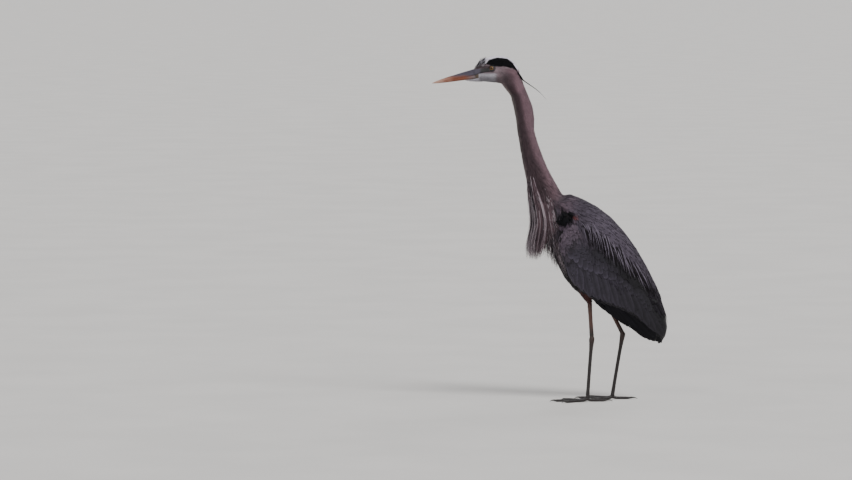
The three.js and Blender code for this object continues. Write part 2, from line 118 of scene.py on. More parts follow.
# Lines on the folded wing and back: tips of the feather rows, and the scapulars' roots and tips.
SECONDARY_TIPS = [(58, 372), (124, 321), (186, 301), (257, 272), (307, 225), (352, 194)]
COVERT_TIPS = [(60, 436), (105, 405), (160, 386), (218, 362), (268, 322), (310, 268)]
PRIMARY_TIPS = [(128, 330), (152, 298), (177, 273), (217, 243), (258, 221), (298, 191), (352, 176)]
SCAPULAR_ROOTS = [(92, 552), (135, 540), (175, 508), (218, 468), (262, 420)]
SCAPULAR_TIPS = [(118, 474), (190, 419), (244, 377), (282, 352), (322, 318)]
CREST = [(-118, 5, 1028), (-100, 7, 1004), (-86, 8, 985), (-62, 9, 968), (-36, 10, 949), (-11, 12, 922)]

# Rows of coverts: rise, shift of their tips, number, length, half width, sink and paleness of the tip.
COVERT_ROWS = (
    (0.8, (0, 0), 19, 66, 10.5, 2.2, 2.3),
    (1.1, (-4, 26), 20, 48, 8.5, 1.8, 1.6),
    (1.4, (-6, 48), 22, 38, 7.5, 1.5, 1.3),
)
# Plumes beside the breast: number, lines of roots and of tips, spread and share of pale ones.
BREAST_ROWS = (
    (90, [(-58, 690), (-34, 672), (-12, 645), (6, 610)],
     [(-30, 500), (-4, 492), (14, 500), (22, 540)], 5, 0.16),
    (70, [(-34, 610), (-8, 580), (12, 540)], [(-12, 452), (10, 425), (30, 405)], 5, 0.3),
    (34, [(-2, 540), (14, 500), (24, 460)], [(22, 452), (34, 412), (52, 376)], 3, 0.6),
)

# Tables of a place and the value there. Top and lower edge of the black band over the eye, by x.
BLACK_TOP = [-198, -187, -164, -136, -120, -109, -94], [1031, 1043, 1049, 1047.5, 1037, 1024, 1000]
BLACK_LOW = [-198, -178, -164, -138, -120, -107, -94], [1029, 1025, 1022.5, 1022.5, 1020, 1014, 990]
# By z: the neck's front edge, where painted light on its nape begins and ends, and the band of painted
# shade down its side, partly the neck's own darker tone.
NECK_FRONT = [600, 690, 760, 838, 908, 934, 958, 978], [-50, -77, -90, -103, -115, -122, -140, -158]
NAPE_LIGHT_START = [660, 705, 751, 843, 940], [42, 33, 22, 14, 15]
NAPE_LIGHT_END = [660, 705, 751, 843, 940], [80, 68, 52, 50, 44]
SHADE_BAND_HEIGHTS = [614, 660, 705, 751, 843, 931, 956, 980, 990, 1000]
SHADE_BAND_MIDDLE = SHADE_BAND_HEIGHTS, [-28, -38, -48, -68, -90, -107, -120, -127, -129, -136]
SHADE_BAND_HALF = SHADE_BAND_HEIGHTS, [20, 26, 26, 19, 13, 12, 13, 14, 17, 17]
# By z: painted shade on the face, darkest at its underside and again across the lower cheek.
FACE_PAINTED_SHADE = [983, 988, 991, 994, 997, 1001, 1004, 1008, 1014], [0.5, 0.6, 0.7, 0.88, 1.05, 1, 0.8, 0.85, 1]
# By x: painted light and shade along the back, darker towards its rear.
BACK_PAINTED_LIGHT_AND_SHADE = [40, 90, 115, 151, 227, 273, 330], [1.3, 0.8, 1.05, 1.25, 1.1, 0.85, 0.72]
SCAPULAR_EDGE = [118, 190, 244, 282, 322, 345], [474, 419, 377, 352, 318, 250]
WRIST_FOLD = [440, 464, 484, 494], [51, 60, 70, 82]
GAPE = [-245, -232, -224, -213, -200, -186, -172], [992, 995, 999, 1003, 1006, 1008, 1009]
BARE_TOP = [-245, -225, -200, -190, -184], [1012, 1015, 1017, 1018.5, 1012]

LEGS = {
    "left": {
        "thigh": (96, -30, 376), "knee": (120, -28, 300), "ankle": (127, -30, 193),
        "foot": (114, -38, 11), "heading": -5,
    },
    "right": {
        "thigh": (138, 29, 372), "knee": (177, 27, 293), "ankle": (224, 30, 202),
        "foot": (193, 38, 11), "heading": 5,
    },
}
Toe = namedtuple("Toe", "length claw joints turn")
TOES = {
    "hind": Toe(52, 23, 1, 176), "inner": Toe(72, 15, 2, -31), "middle": Toe(98, 16, 3, 0),
    "outer": Toe(82, 13, 4, 29),
}

# A feather's sections: shares of its length, and its width there as a share of the widest.
Kind = namedtuple("Kind", "along width")
DOWN = Kind((0, 0.5, 0.82, 1), (0.45, 1, 0.72, 0.12))
CONTOUR = Kind((0, 0.35, 0.68, 0.88, 1), (0.4, 0.95, 1, 0.68, 0.14))
COVERT = Kind((0, 0.3, 0.6, 0.82, 0.94, 1), (0.4, 0.9, 1, 0.86, 0.55, 0.14))
FLIGHT = Kind((0, 0.2, 0.4, 0.6, 0.78, 0.9, 0.97, 1), (0.8, 0.95, 1, 1, 0.93, 0.74, 0.42, 0.12))
MANTLE = Kind((0, 0.25, 0.5, 0.72, 0.88, 1), (0.6, 1, 0.95, 0.75, 0.45, 0.08))
LANCE = Kind(tuple(np.linspace(0, 1, 9)), (0.5, 0.9, 1, 0.96, 0.86, 0.7, 0.52, 0.3, 0.06))
TWELVE = tuple(np.linspace(0, 1, 12))
RIBBON = Kind(TWELVE, (0.3, 0.7, 0.95, 1, 1, 0.95, 0.85, 0.72, 0.58, 0.42, 0.24, 0.05))
CREST_PLUME = Kind(TWELVE, (1, 1, 1, 0.95, 0.85, 0.75, 0.65, 0.55, 0.45, 0.34, 0.22, 0.06))
SPIKE = Kind((0, 0.35, 0.7, 1), (0.8, 1, 0.6, 0.08))


def srgb(red, green, blue):
    """The linear colour of a display colour."""
    return tuple(((c / 255 + 0.055) / 1.055) ** 2.4 for c in (red, green, blue))


def colour(name, description, *rgb):
    return bpy.props.FloatVectorProperty(
        name=name, description=description, subtype="COLOR", size=3, min=0, max=1, default=srgb(*rgb)
    )


def length(name, description, metres):
    return bpy.props.FloatProperty(
        name=name, description=description, default=metres, min=0, subtype="DISTANCE", unit="LENGTH"
    )


def how_many(name, description, default):
    return bpy.props.IntProperty(name=name, description=description, default=default, min=4)


def level(name, description, default):
    return bpy.props.FloatProperty(name=name, description=description, default=default)


class HeronColours(bpy.types.PropertyGroup):
    """Plumage and bare-part colours."""

    crown: colour("Crown", "White of the crown", 240, 235, 244)
    cap: colour("Cap", "Black of the band over the eye and of the crest", 2, 2, 7)
    cheek: colour("Cheek", "Pale side of the face", 138, 121, 126)
    chin: colour("Chin", "White of the chin and throat", 196, 192, 200)
    lores: colour("Lores", "Bare skin between bill and eye", 22, 19, 19)
    neck: colour("Neck", "Mauve grey of the neck", 108, 85, 92)
    foreneck: colour("Foreneck", "Pale line down the front of the neck", 150, 136, 134)
    back: colour("Back", "Slate of the back", 76, 69, 79)
    wing: colour("Wing", "Slate of the wing", 45, 41, 50)
    wrist: colour("Wrist", "Mauve grey of the small coverts at the bend of the wing", 83, 71, 82)
    flight: colour("Flight feathers", "Blue-black of the primaries", 9, 8, 14)
    belly: colour("Belly", "Black of the flanks", 14, 10, 14)
    shoulder: colour("Shoulder", "Black of the shoulder patch", 2, 3, 9)
    rust: colour("Rust", "Chestnut of the spot behind the shoulder patch", 102, 60, 62)
    thigh: colour("Thigh", "Chestnut of the feathered thigh", 66, 35, 32)
    plume_pale: colour("Pale plumes", "Pale plumes of breast and scapulars", 166, 153, 159)
    plume_dark: colour("Dark plumes", "Dark plumes between the pale ones", 60, 52, 60)
    shank: colour("Shank", "Orange-brown skin over the ankle", 72, 42, 32)
    tarsus: colour("Tarsus", "Dark brown skin of the lower leg and toes", 24, 15, 13)
    culmen: colour("Culmen", "Dark grey-blue of the bill's ridge and base", 54, 47, 63)
    bill: colour("Bill", "Orange-brown of the bill's sides and tip", 114, 56, 28)
    iris: colour("Iris", "Yellow of the eye", 104, 76, 28)
    horn: colour("Claws", "Dark horn of the claws", 34, 29, 27)
    floor: colour("Floor", "Pale floor", 205, 202, 198)


class HeronSizes(bpy.types.PropertyGroup):
    """Sizes of the coat and how closely it is set."""

    voxel: length("Skin cell", "Size of the cells that fuse the soft solids into one skin", 0.0015)
    seal: length("Seal", "How far the solids are grown to close the gaps between them", 0.0005)
    smoothing: length("Smoothing", "How far the body's facets are evened out", 0.0075)
    plume_count: how_many("Breast plumes", "Number of long plumes on the breast", 1150)
    scapulars: how_many("Scapular plumes", "Number of long plumes on each side of the back", 150)
    secondaries: how_many("Secondaries", "Secondaries on each wing", 24)
    primaries: how_many("Primaries", "Primaries on each wing", 11)


class HeronStage(bpy.types.PropertyGroup):
    """Camera, floor and light."""

    lens: bpy.props.FloatProperty(
        name="Lens", description="Focal length", default=187.9, subtype="DISTANCE_CAMERA"
    )
    key: level("Key light", "Strength of the main light", 2.6)
    fill: level("Fill light", "Strength of the second light", 0.9)
    sky: level("Surrounding light", "Strength of the light from all round", 0.62)
    floor_radius: length("Floor radius", "Radius of the round floor", 160)


def tones():
    """The colours set in the panel, as arrays."""
    colours = bpy.context.scene.heron_colours
    return SimpleNamespace(**{key: np.array(getattr(colours, key)) for key in HeronColours.__annotations__})


# ---- Curves and sampling ----------------------------------------------------------------------


def curve(*stations):
    """A smooth curve through (place, value) stations, level past both ends."""
    at, value = np.array(stations, float).T
    low, high = np.maximum(np.arange(len(at)) - 1, 0), np.minimum(np.arange(len(at)) + 1, len(at) - 1)
    slope = (value[high] - value[low]) / (at[high] - at[low])

    def evaluate(place):
        place = np.clip(place, at[0], at[-1])
        i = np.clip(np.searchsorted(at, place, side="right") - 1, 0, len(at) - 2)
        span = at[i + 1] - at[i]
        u = (place - at[i]) / span
        start = value[i] * (1 + 2 * u) * (1 - u) ** 2 + slope[i] * span * u * (1 - u) ** 2
        end = value[i + 1] * u * u * (3 - 2 * u) + slope[i + 1] * span * u * u * (u - 1)
        return start + end

    return evaluate


def ease(value, low, high):
    """0 below low, 1 above high and smooth between."""
    t = np.clip((np.asarray(value, float) - low) / (high - low), 0, 1)
    return t * t * (3 - 2 * t)


def fade(value, low, high):
    """1 below low, 0 above high and smooth between."""
    return 1 - ease(value, low, high)


def hump(off, width):
    """A bell: 1 where off is 0."""
    return np.exp(-((off / width) ** 2))


def mix(first, second, share):
    return first + (second - first) * np.asarray(share)[..., None]


def scaled(tint, factor):
    return tint * factor[:, None]


def unit(vectors):
    return vectors / np.maximum(np.linalg.norm(vectors, axis=-1, keepdims=True), 1e-12)


def far_along(line):
    """How far along a polyline each of its points lies."""
    return np.r_[0, np.cumsum(np.linalg.norm(np.diff(line, axis=0), axis=1))]


def at_far(line, far, places):
    """Points of a polyline at the given distances along it."""
    return np.stack([np.interp(places, far, line[:, i]) for i in range(line.shape[1])], -1)


def on_line(line, share):
    """Points at shares of a polyline's length."""
    line = np.array(line, float)
    far = far_along(line)
    return at_far(line, far, np.asarray(share) * far[-1])


def through(points, count):
    """A smooth polyline of count points through the given ones."""
    points = np.array(points, float)
    far = far_along(points)
    places = np.linspace(0, far[-1], count)
    return np.stack([curve(*zip(far, points[:, i]))(places) for i in range(points.shape[1])], -1)


def lie(points):
    """Direction in which the feathers lie at each point, before it is laid on the surface."""
    table = np.array(LIE, float)
    gaps = ((points[:, None, [0, 2]] / MM - table[None, :, :2]) ** 2).sum(-1)
    weight = 1 / (gaps + 60) ** 2.2
    flat = unit(weight @ unit(table[:, 2:]) / weight.sum(1, keepdims=True))
    return np.stack([flat[:, 0], np.zeros(len(points)), flat[:, 1]], 1)


def unwrap(points, line=None):
    """Place of each point on the unwrapped skin: the angle round a line, and how far along it."""
    line = np.array(line or [(x, 0, z) for x, z in SPINE], float) * MM
    far = far_along(line)
    dense = np.linspace(0, far[-1], 200)
    axis = at_far(line, far, dense)
    nearest = ((points[:, None] - axis[None]) ** 2).sum(-1).argmin(1)
    ahead = unit(np.gradient(axis, axis=0))[nearest]
    off = points - axis[nearest]
    up = np.stack([-ahead[:, 2], np.zeros(len(points)), ahead[:, 0]], 1)
    turn = np.arctan2(off[:, 1], (off * up).sum(1)) / (2 * math.pi) + 0.5
    along = (dense[nearest] + (off * ahead).sum(1)) / far[-1]
    return MAP_MARGIN + (1 - 2 * MAP_MARGIN) * np.stack([turn, np.clip(along, 0, 1)], 1)


# ---- The plumage's outer form -----------------------------------------------------------------


def linked(name, data):
    """A new object in the scene."""
    obj = bpy.data.objects.new(name, data)
    bpy.context.scene.collection.objects.link(obj)
    return obj


def smooth_faces(mesh):
    mesh.polygons.foreach_set("use_smooth", np.ones(len(mesh.polygons), bool))


def evaluated(obj):
    """A mesh with the object's modifiers carried out."""
    return bpy.data.meshes.new_from_object(obj.evaluated_get(bpy.context.evaluated_depsgraph_get()))


def read(items, key, width, kind=np.float32):
    out = np.empty(len(items) * width, kind)
    items.foreach_get(key, out)
    return out.reshape(-1, width) if width > 1 else out


def tree_of(names):
    """A search tree of the named solids' faces, and which solid each face is from."""
    places, faces, owners = [], [], []
    for number, name in enumerate(names):
        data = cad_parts[name].data
        start = len(places)
        places += [v.co for v in data.vertices]
        faces += [[start + i for i in p.vertices] for p in data.polygons]
        owners += [number] * len(data.polygons)
    return BVHTree.FromPolygons(places, faces), owners


def grown_copy(name, grow):
    """A merged copy of a solid, its surface moved out by grow."""
    part = bmesh.new()
    part.from_mesh(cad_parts[name].data)
    bmesh.ops.remove_doubles(part, verts=part.verts, dist=1e-5)
    part.normal_update()
    for v in part.verts:
        v.co += v.normal * grow
    return part


def on_toe(leg, side, toe, reach, z):
    """A point on a toe's axis, reach millimetres out from the foot."""
    turn = math.radians(leg["heading"] + side * TOES[toe].turn)
    return leg["foot"][0] - reach * math.cos(turn), leg["foot"][1] + reach * math.sin(turn), z


def swept(bm, points, radius, flat, segments, rings):
    """A rounded, closed tube along points: a sphere whose rings are moved onto the line."""
    line = through(points, 80)
    far = far_along(line) / MM
    far, ahead = far / far[-1], unit(np.gradient(line, axis=0))
    for v in bmesh.ops.create_uvsphere(bm, u_segments=segments, v_segments=rings, radius=1)["verts"]:
        polar = math.acos(max(-1.0, min(1.0, v.co.z)))
        share = (1 - math.cos(polar)) / 2
        rounded = min(1.0, math.sin(polar) / 0.45)
        size = float(radius(share)) * rounded * MM
        way = unit(at_far(ahead, far, share))
        side = unit(np.cross(way, [0, 0, 1]) if abs(way[2]) < 0.9 else np.cross(way, [-1, 0, 0]))
        angle = math.atan2(v.co.y, v.co.x)
        off = side * math.cos(angle) * flat + np.cross(side, way) * math.sin(angle)
        v.co = Vector(at_far(line, far, share) + off * size)


def add_limbs(bm):
    """Rounded shins, feet and jointed toes, which join the leg's solids."""
    shin = curve((0, 7.6), (0.5, 6.3), (1, 7))
    lower = curve((0, 7.8), (0.06, 8.6), (0.14, 7), (0.3, 5.4), (0.8, 5.3), (0.96, 6.2), (1, 6.4))
    for name, side in SIDES.items():
        leg = LEGS[name]
        knee, ankle, foot = (np.array(leg[key], float) * MM for key in ("knee", "ankle", "foot"))
        swept(bm, [mix(knee, ankle, share) for share in (-0.1, 0.5, 1.0)], shin, 1, 16, 24)
        swept(bm, [mix(ankle, foot, share) for share in (-0.05, 0.5, 1.04)], lower, 0.9, 16, 48)
        for key, toe in TOES.items():
            stations = [(0, 5.4)]
            for i in range(1, toe.joints + 1):
                place = i / (toe.joints + 1)
                stations += [(place - 0.09, 4.3 - 1.1 * place), (place, 5.2 - 1.1 * place)]
            heights = [(0, leg["foot"][2] - 3), (0.14, 5.4), (0.3, 3.6), (0.65, 3.5), (1, 3.4)]
            points = [on_toe(leg, side, key, share * (toe.length + 1), z) for share, z in heights]
            swept(bm, np.array(points) * MM, curve(*stations, (0.92, 3.6), (1, 3.6)), 1, 14, 40)


def fill_out(part, reach, overlap):
    """Moves a solid's surface out to the wings and capes that lie close over it."""
    covers, _ = tree_of(both("cape", "wing", "primaries", "shoulder_patch"))
    longest = 8 * MM
    for _ in range(3):
        wide = [e for e in part.edges if e.calc_length() > longest]
        bmesh.ops.subdivide_edges(part, edges=wide, cuts=1)
        bmesh.ops.triangulate(part, faces=part.faces)
    part.normal_update()
    for v in part.verts:
        hit, facing, _, far = covers.ray_cast(v.co, v.normal, reach)
        if hit is not None and facing.dot(v.normal) < 0:
            v.co += v.normal * (far + overlap)


def fuse(names, grow, voxel):
    """One closed mesh round the named solids."""
    joined, loose = bmesh.new(), bpy.data.meshes.new("loose")
    add_limbs(joined)
    for name in names:
        part = grown_copy(name, grow)
        if name in ("trunk", "neck_lower"):
            fill_out(part, reach=16 * MM, overlap=1.5 * MM)
        part.to_mesh(loose)
        part.free()
        joined.from_mesh(loose)
    joined.to_mesh(loose)
    joined.free()
    body = linked("fused", loose)
    remesh = body.modifiers.new("fuse", "REMESH")
    remesh.mode, remesh.voxel_size = "VOXEL", voxel
    fused = evaluated(body)
    bpy.data.objects.remove(body)
    bpy.data.meshes.remove(loose)
    return fused


def relax(values, edges, pull, rounds):
    """Moves each vertex's value towards the mean of its neighbours'."""
    values, count = values.reshape(len(values), -1).astype(float), len(values)
    a, b = edges.T
    near = np.maximum(np.bincount(a, minlength=count) + np.bincount(b, minlength=count), 1)
    pull = np.broadcast_to(pull, count)
    for _ in range(rounds):
        for i in range(values.shape[1]):
            v = values[:, i]
            total = np.bincount(a, v[b], count) + np.bincount(b, v[a], count)
            values[:, i] = v + pull * (total / near - v)
    return values


class Form:
    """The smooth outer form of the plumage, with the number of the part at each vertex and face."""

    def __init__(self, sizes):
        mesh = fuse(SOFT + both("eye"), sizes.seal, sizes.voxel)
        self.edges = read(mesh.edges, "vertices", 2, np.int32)
        raw = read(mesh.vertices, "co", 3).astype(float)
        solids, owners = tree_of(SOFT)
        self.part = np.array([owners[solids.find_nearest(p)[2]] for p in raw.tolist()])
        bare = np.isin(KINDS, BARE)[self.part]
        face = (KINDS == "head")[self.part]
        pull = np.where(bare, PULLS["bare"], np.where(face, PULLS["face"], PULLS["rest"]))
        pull = relax(pull, self.edges, 0.5, 8)[:, 0]
        rounds = int(round(2 * (sizes.smoothing / sizes.voxel) ** 2))
        smooth = relax(raw, self.edges, pull, rounds)
        self.set_points(mesh, smooth)
        # What evening out took off is given back along the normals.
        shrunk = ((raw - smooth) * self.normals).sum(1)
        shrunk = relax(shrunk, self.edges, 0.9, 40)[:, 0] * np.where(bare, 0.5, 0.9)
        self.set_points(mesh, smooth + self.normals * shrunk[:, None])
        self.quads = read(mesh.loops, "vertex_index", 1, np.int32).reshape(-1, 4)
        self.mesh = mesh
        self.tree = BVHTree.FromPolygons(self.points.tolist(), self.quads.tolist())
        corners = self.points[self.quads]
        cross = np.cross(corners[:, 2] - corners[:, 0], corners[:, 3] - corners[:, 1])
        self.area = np.linalg.norm(cross, axis=1) / 2
        self.facing = unit(cross)
        self.face_part = self.part[self.quads[:, 0]]
        self.middle = corners.mean(1)
        soft = ~bare[self.quads[:, 0]]
        self.hidden = np.array([
            s and self.tree.ray_cast(Vector(p + 0.0008 * n), Vector(n), OVERHANG)[0] is not None
            for s, p, n in zip(soft, self.middle, self.facing)
        ])

    def set_points(self, mesh, points):
        points[:, 2] = np.maximum(points[:, 2], 0)
        mesh.vertices.foreach_set("co", points.astype(np.float32).ravel())
        mesh.update()
        self.points = points
        self.normals = read(mesh.vertex_normals, "vector", 3).astype(float)

    def thickness(self):
        """How thick the form is under each vertex, up to 30 mm, evened out."""
        pairs = zip(self.points, self.normals)
        found = [self.tree.ray_cast(Vector(p - 0.0003 * n), Vector(-n), THICKEST)[3] for p, n in pairs]
        thick = np.array([THICKEST if far is None else far for far in found])
        a, b = self.edges.T
        for _ in range(2):
            least = thick.copy()
            np.minimum.at(least, a, thick[b])
            np.minimum.at(least, b, thick[a])
            thick = least
        return relax(thick, self.edges, 0.5, 6)[:, 0]

    def is_part(self, *kinds, side=""):
        """True for each face on those parts, and on one side of the bird where side is given."""
        wanted = [kind in kinds and name.endswith(side) for kind, name in zip(KINDS, SOFT)]
        return np.array(wanted)[self.face_part] & ~self.hidden

    def nearest(self, points):
        """Nearest places on the form, and the way it faces there."""
        found = [self.tree.find_nearest(p)[:2] for p in points.tolist()]
        return np.array([f[0] for f in found]), np.array([f[1] for f in found])


_kept = {}


def form():
    """The outer form, made once."""
    if "form" not in _kept:
        _kept["form"] = Form(bpy.context.scene.heron_sizes)
    return _kept["form"]


# ---- Markings ---------------------------------------------------------------------------------


def from_eye(x, z):
    """Distance from the eye's middle in the side view."""
    return np.hypot(x - EYE[0], z - EYE[2])


def gape(x):
    """Height of the mouth's line, from the bill's edge to under the eye."""
    return np.interp(x, *GAPE)


def within(z, low, high):
    """1 between low and high, with soft edges."""
    return ease(z, low - 0.8, low + 0.8) * fade(z, high - 0.8, high + 0.8)


def bill_base(x, z):
    """1 where the horn of the bill spreads over the head, short of the feathers."""
    rear = -216 - 3 * fade(z - gape(x), -1, 1)
    low, high = 986.5 + 0.155 * (x + 218), 1013.5 + 0.25 * (x + 226)
    return fade(x, rear - 1.5, rear + 1.5) * within(z, low, high)


def bare_face(x, z):
    """1 on the bare skin between bill and eye, 0 on the feathered face."""
    return within(z, gape(x) + 0.4, np.interp(x, *BARE_TOP)) * fade(x, -188, -184)


def shoulder_oval(x, z):
    """Below 1 inside the shoulder patch, growing outwards."""
    return ((x - 42) / 31) ** 2 + ((z - 562 - 0.12 * (x - 42)) / 23) ** 2


def over_axis(points):
    """How far points lie on the back's side of the body's axis."""
    return (points[:, 0] / MM - 20) * 0.788 + (points[:, 2] / MM - 596) * 0.616


def head_tones(c, x, z):
    """Head: white crown over a black band, pale cheek and chin. Also the neck without its base."""
    front, start, end = (np.interp(z, *table) for table in (NECK_FRONT, NAPE_LIGHT_START, NAPE_LIGHT_END))
    # Painted light: the neck is lighter towards its nape and darker at its front.
    nape = mix(c.neck * 0.8, c.neck * 1.3, ease((x - front - start) / (end - start), 0, 1))
    nape = scaled(nape, np.interp(z, [600, 640, 700], [0.6, 0.72, 1]))
    neck = mix(nape, c.foreneck, fade(x - front, 3, 13) * (0.35 + 0.65 * ease(z, 800, 900)))
    # Painted light on the cheek just behind the eye.
    cheek = scaled(c.cheek, 1 + 0.6 * hump(x + 169, 9) * hump(z - 1010, 6))
    face = mix(cheek, c.chin, fade(z, 996, 1006) * fade(x, -176, -160))
    # Painted shade: the face darker towards its underside.
    face = scaled(face, 1 + (np.interp(z, *FACE_PAINTED_SHADE) - 1) * ease(x, -222, -212))
    face = mix(face, nape, ease(x + 0.55 * (z - 1000), -158, -112) * fade(z, 1014, 1022))
    # A band of painted shade, partly the neck's own darker tone, runs from the cheek down the side of the
    # neck.
    off = np.abs(x - np.interp(z, *SHADE_BAND_MIDDLE)) / np.interp(z, *SHADE_BAND_HALF)
    shade_band = fade(off, 0.5, 1.6) * fade(z, 998, 1008)
    face, neck = scaled(face, 1 - 0.45 * shade_band), scaled(neck, 1 - 0.56 * shade_band)
    face = mix(neck, face, ease(z - 0.4 * (x + 150), 935, 985))
    top, low = np.interp(x, *BLACK_TOP), np.interp(x, *BLACK_LOW)
    above = ease(z, top - 0.8, top + 0.8)
    head = mix(face, c.crown, above * ease(z, 1010, 1022))
    head = mix(head, c.cap, ease(x, -199, -195) * (1 - above) * ease(z, low - 1.2, low + 1.2))
    head = scaled(head, 1 - 0.62 * ease(z, 1011, 1014) * fade(z, 1023, 1027) * fade(x, -190, -182))
    # Bare skin round the eye, the bill's horn and the dark line of the mouth.
    skin = mix(c.culmen, c.lores * 0.9, ease(x, -220, -209))
    skin = mix(skin, c.lores * 0.15, ease(x, -202, -192))
    head = mix(head, skin, np.maximum(bare_face(x, z), 0.85 * fade(from_eye(x, z), 9.5, 12.5)))
    horn = mix(c.bill * (0.5, 1.4, 3.2), c.culmen, ease(z - gape(x), -1, 1))
    head = mix(head, horn, bill_base(x, z))
    return mix(head, c.cap * 2, hump(z - gape(x), 1.4) * fade(x, -180, -166)), face


def body_tones(c, x, y, z, neck):
    """Neck's base, slate back and wings, mauve at the bend of the wing, black flanks, and legs."""
    neck = mix(neck, c.back * 0.85, ease(x + 0.7 * (600 - z), -30, 45) * fade(z, 640, 715))
    # Painted light and shade along the back.
    back = scaled(c.back, np.interp(x, *BACK_PAINTED_LIGHT_AND_SHADE))
    back = mix(back, c.neck * 0.8, 0.6 * fade(x - 0.3 * (z - 600), 10, 90))
    wing = mix(c.wrist, c.wing, ease(0.5 * x - z, -487, -415))
    wing = scaled(wing, 1 + 0.3 * fade(x, 70, 110) * fade(z, 430, 470))
    wing = scaled(wing, 1 + 0.3 * hump(x - 36, 20) * hump(z - 492, 30))
    wing = scaled(wing, (1 - 0.58 * ease(x, 150, 310)) * (1 - 0.22 * ease(0.5 * x - z, -330, -250)))
    # The scapulars' edge: the wing's slate begins under it, and painted shade of the gaps between the
    # plumes lies over it.
    edge = np.interp(x, *SCAPULAR_EDGE)
    back = mix(back, wing, 0.85 * ease(edge + 15 - z, 0, 25))
    gap = 1 - 0.6 * ease(z, edge - 25, edge) * fade(z, edge + 25, edge + 60) * ease(x, 100, 125)
    back, wing = scaled(back, gap), scaled(wing, gap)
    # Painted shade in the crease along the bend of the wing.
    fold_shade = hump(x - np.interp(z, *WRIST_FOLD), 3.5) * ease(z, 436, 446) * fade(z, 484, 494)
    wing = scaled(wing, 1 - 0.6 * fold_shade)
    belly = mix(c.belly, c.plume_dark * 0.9, fade(x, 10, 40) * ease(z, 430, 470))
    streak = 0.5 + 0.5 * np.sin(x * 0.9 + y * 0.7)
    belly = mix(belly, c.plume_pale, fade(y, 6, 22) * 0.32 * streak * fade(x, 110, 200))
    around = mix(mix(c.plume_dark * 0.5, wing, ease(x, 16, 32)), back, ease(z, 568, 584))
    black = fade(shoulder_oval(x, z), 0.8, 1.3) * ease(y, 20, 30)
    neck, back, wing, around = (mix(tint, c.shoulder, black) for tint in (neck, back, wing, around))
    rust = np.exp(-((x - 74) ** 2 + (z - 565) ** 2) / 42)
    return {
        **dict.fromkeys(("neck_upper", "neck_middle", "neck_lower"), neck),
        "cape": mix(back, c.rust, rust), "wing": mix(wing, c.rust, rust), "shoulder_patch": around,
        "trunk": belly, "primaries": c.flight, "tail": c.wing * 0.9, "thigh": c.thigh,
        "shank": mix(c.shank, c.tarsus, fade(z, 200, 240)), "foot": c.tarsus,
        "tarsus": mix(c.tarsus, c.shank, 0.35 * ease(z, 150, 200)),
    }


def plumage(points, part):
    """Colour of skin and feathers at points of the named part numbers."""
    c = tones()
    x, y, z = (points / MM).T
    head, neck = head_tones(c, x, z)
    out = np.empty((len(points), 3))
    for kind, tint in {"head": head, **body_tones(c, x, np.abs(y), z, neck)}.items():
        here = KINDS[part] == kind
        out[here] = np.broadcast_to(tint, out.shape)[here]
    return np.clip(out, 0, 1)


# ---- Feathers ---------------------------------------------------------------------------------


TRIES = 2.6  # tries for each point that the chosen faces could hold


def scatter(chosen, spacing, rng):
    """Points spread over the chosen faces, none closer to another than the spacing there."""
    body = form()
    faces = np.flatnonzero(chosen)
    spacing = np.broadcast_to(spacing, len(body.area))[faces]
    share = body.area[faces] / spacing**2
    tries = int(share.sum() * TRIES) + 1
    pick = rng.choice(len(faces), tries, p=share / share.sum())
    u, v = rng.random((2, tries, 1))
    a, b, c, d = body.points[body.quads[faces[pick]]].transpose(1, 0, 2)
    points = (a * (1 - u) + b * u) * (1 - v) + (d * (1 - u) + c * u) * v
    taken, grid, cell = [], {}, spacing.max()
    around = [(i, j, k) for i in (-1, 0, 1) for j in (-1, 0, 1) for k in (-1, 0, 1)]
    for n, (p, gap) in enumerate(zip(points.tolist(), spacing[pick].tolist())):
        x, y, z = (int(v // cell) for v in p)
        near = (q for i, j, k in around for q in grid.get((x + i, y + j, z + k), ()))
        if all(math.dist(p, q) >= gap for q in near):
            grid.setdefault((x, y, z), []).append(p)
            taken.append(n)
    taken = np.array(taken)
    return points[taken], body.face_part[faces[pick[taken]]]


def flat_on(vectors, normal):
    """Vectors turned into the plane across the normals."""
    return unit(vectors - normal * (vectors * normal).sum(-1, keepdims=True))


def raised(centre, normal, sink, rise, along):
    """Centres moved from sink below the surface at the root to rise above it at the tip."""
    height = -sink[:, None] + (sink + rise)[:, None] * along[None] ** 0.7
    return centre + normal * height[..., None]


def comb(roots, kind, span, sink, rise, yaw):
    """Courses of feathers that start at roots and follow the lie over the form."""
    body = form()
    along = np.array(kind.along)
    count, steps = len(roots), len(along)
    span, sink, rise = (np.broadcast_to(v * MM, count) for v in (span, sink, rise))
    centre, normal, ahead = (np.empty((count, steps, 3)) for _ in range(3))
    place, up = body.nearest(roots)
    slack = np.ones(count)
    for k in range(steps):
        if k:
            step = span * (along[k] - along[k - 1]) * slack
            moved = place + ahead[:, k - 1] * step[:, None]
            found, facing = body.nearest(moved)
            # Past a sharp turn or an edge of the form a feather goes straight on, in short steps.
            missed = np.linalg.norm(found - moved, axis=1)
            held = ((facing * up).sum(1) > 0.25) & (missed < 2 * MM + 0.5 * step)
            slack = np.where(held, 1.0, 0.2)
            place = np.where(held[:, None], found, moved)
            up = unit(np.where(held[:, None], 0.5 * up + 0.5 * facing, up))
        way = flat_on(lie(place), up)
        if k:
            way = flat_on(unit(0.4 * way + 0.6 * ahead[:, k - 1]), up)
        else:
            way = way * np.cos(yaw)[:, None] + np.cross(up, way) * np.sin(yaw)[:, None]
        centre[:, k], normal[:, k], ahead[:, k] = place, up, way
    return raised(centre, normal, sink, rise, along), normal, ahead


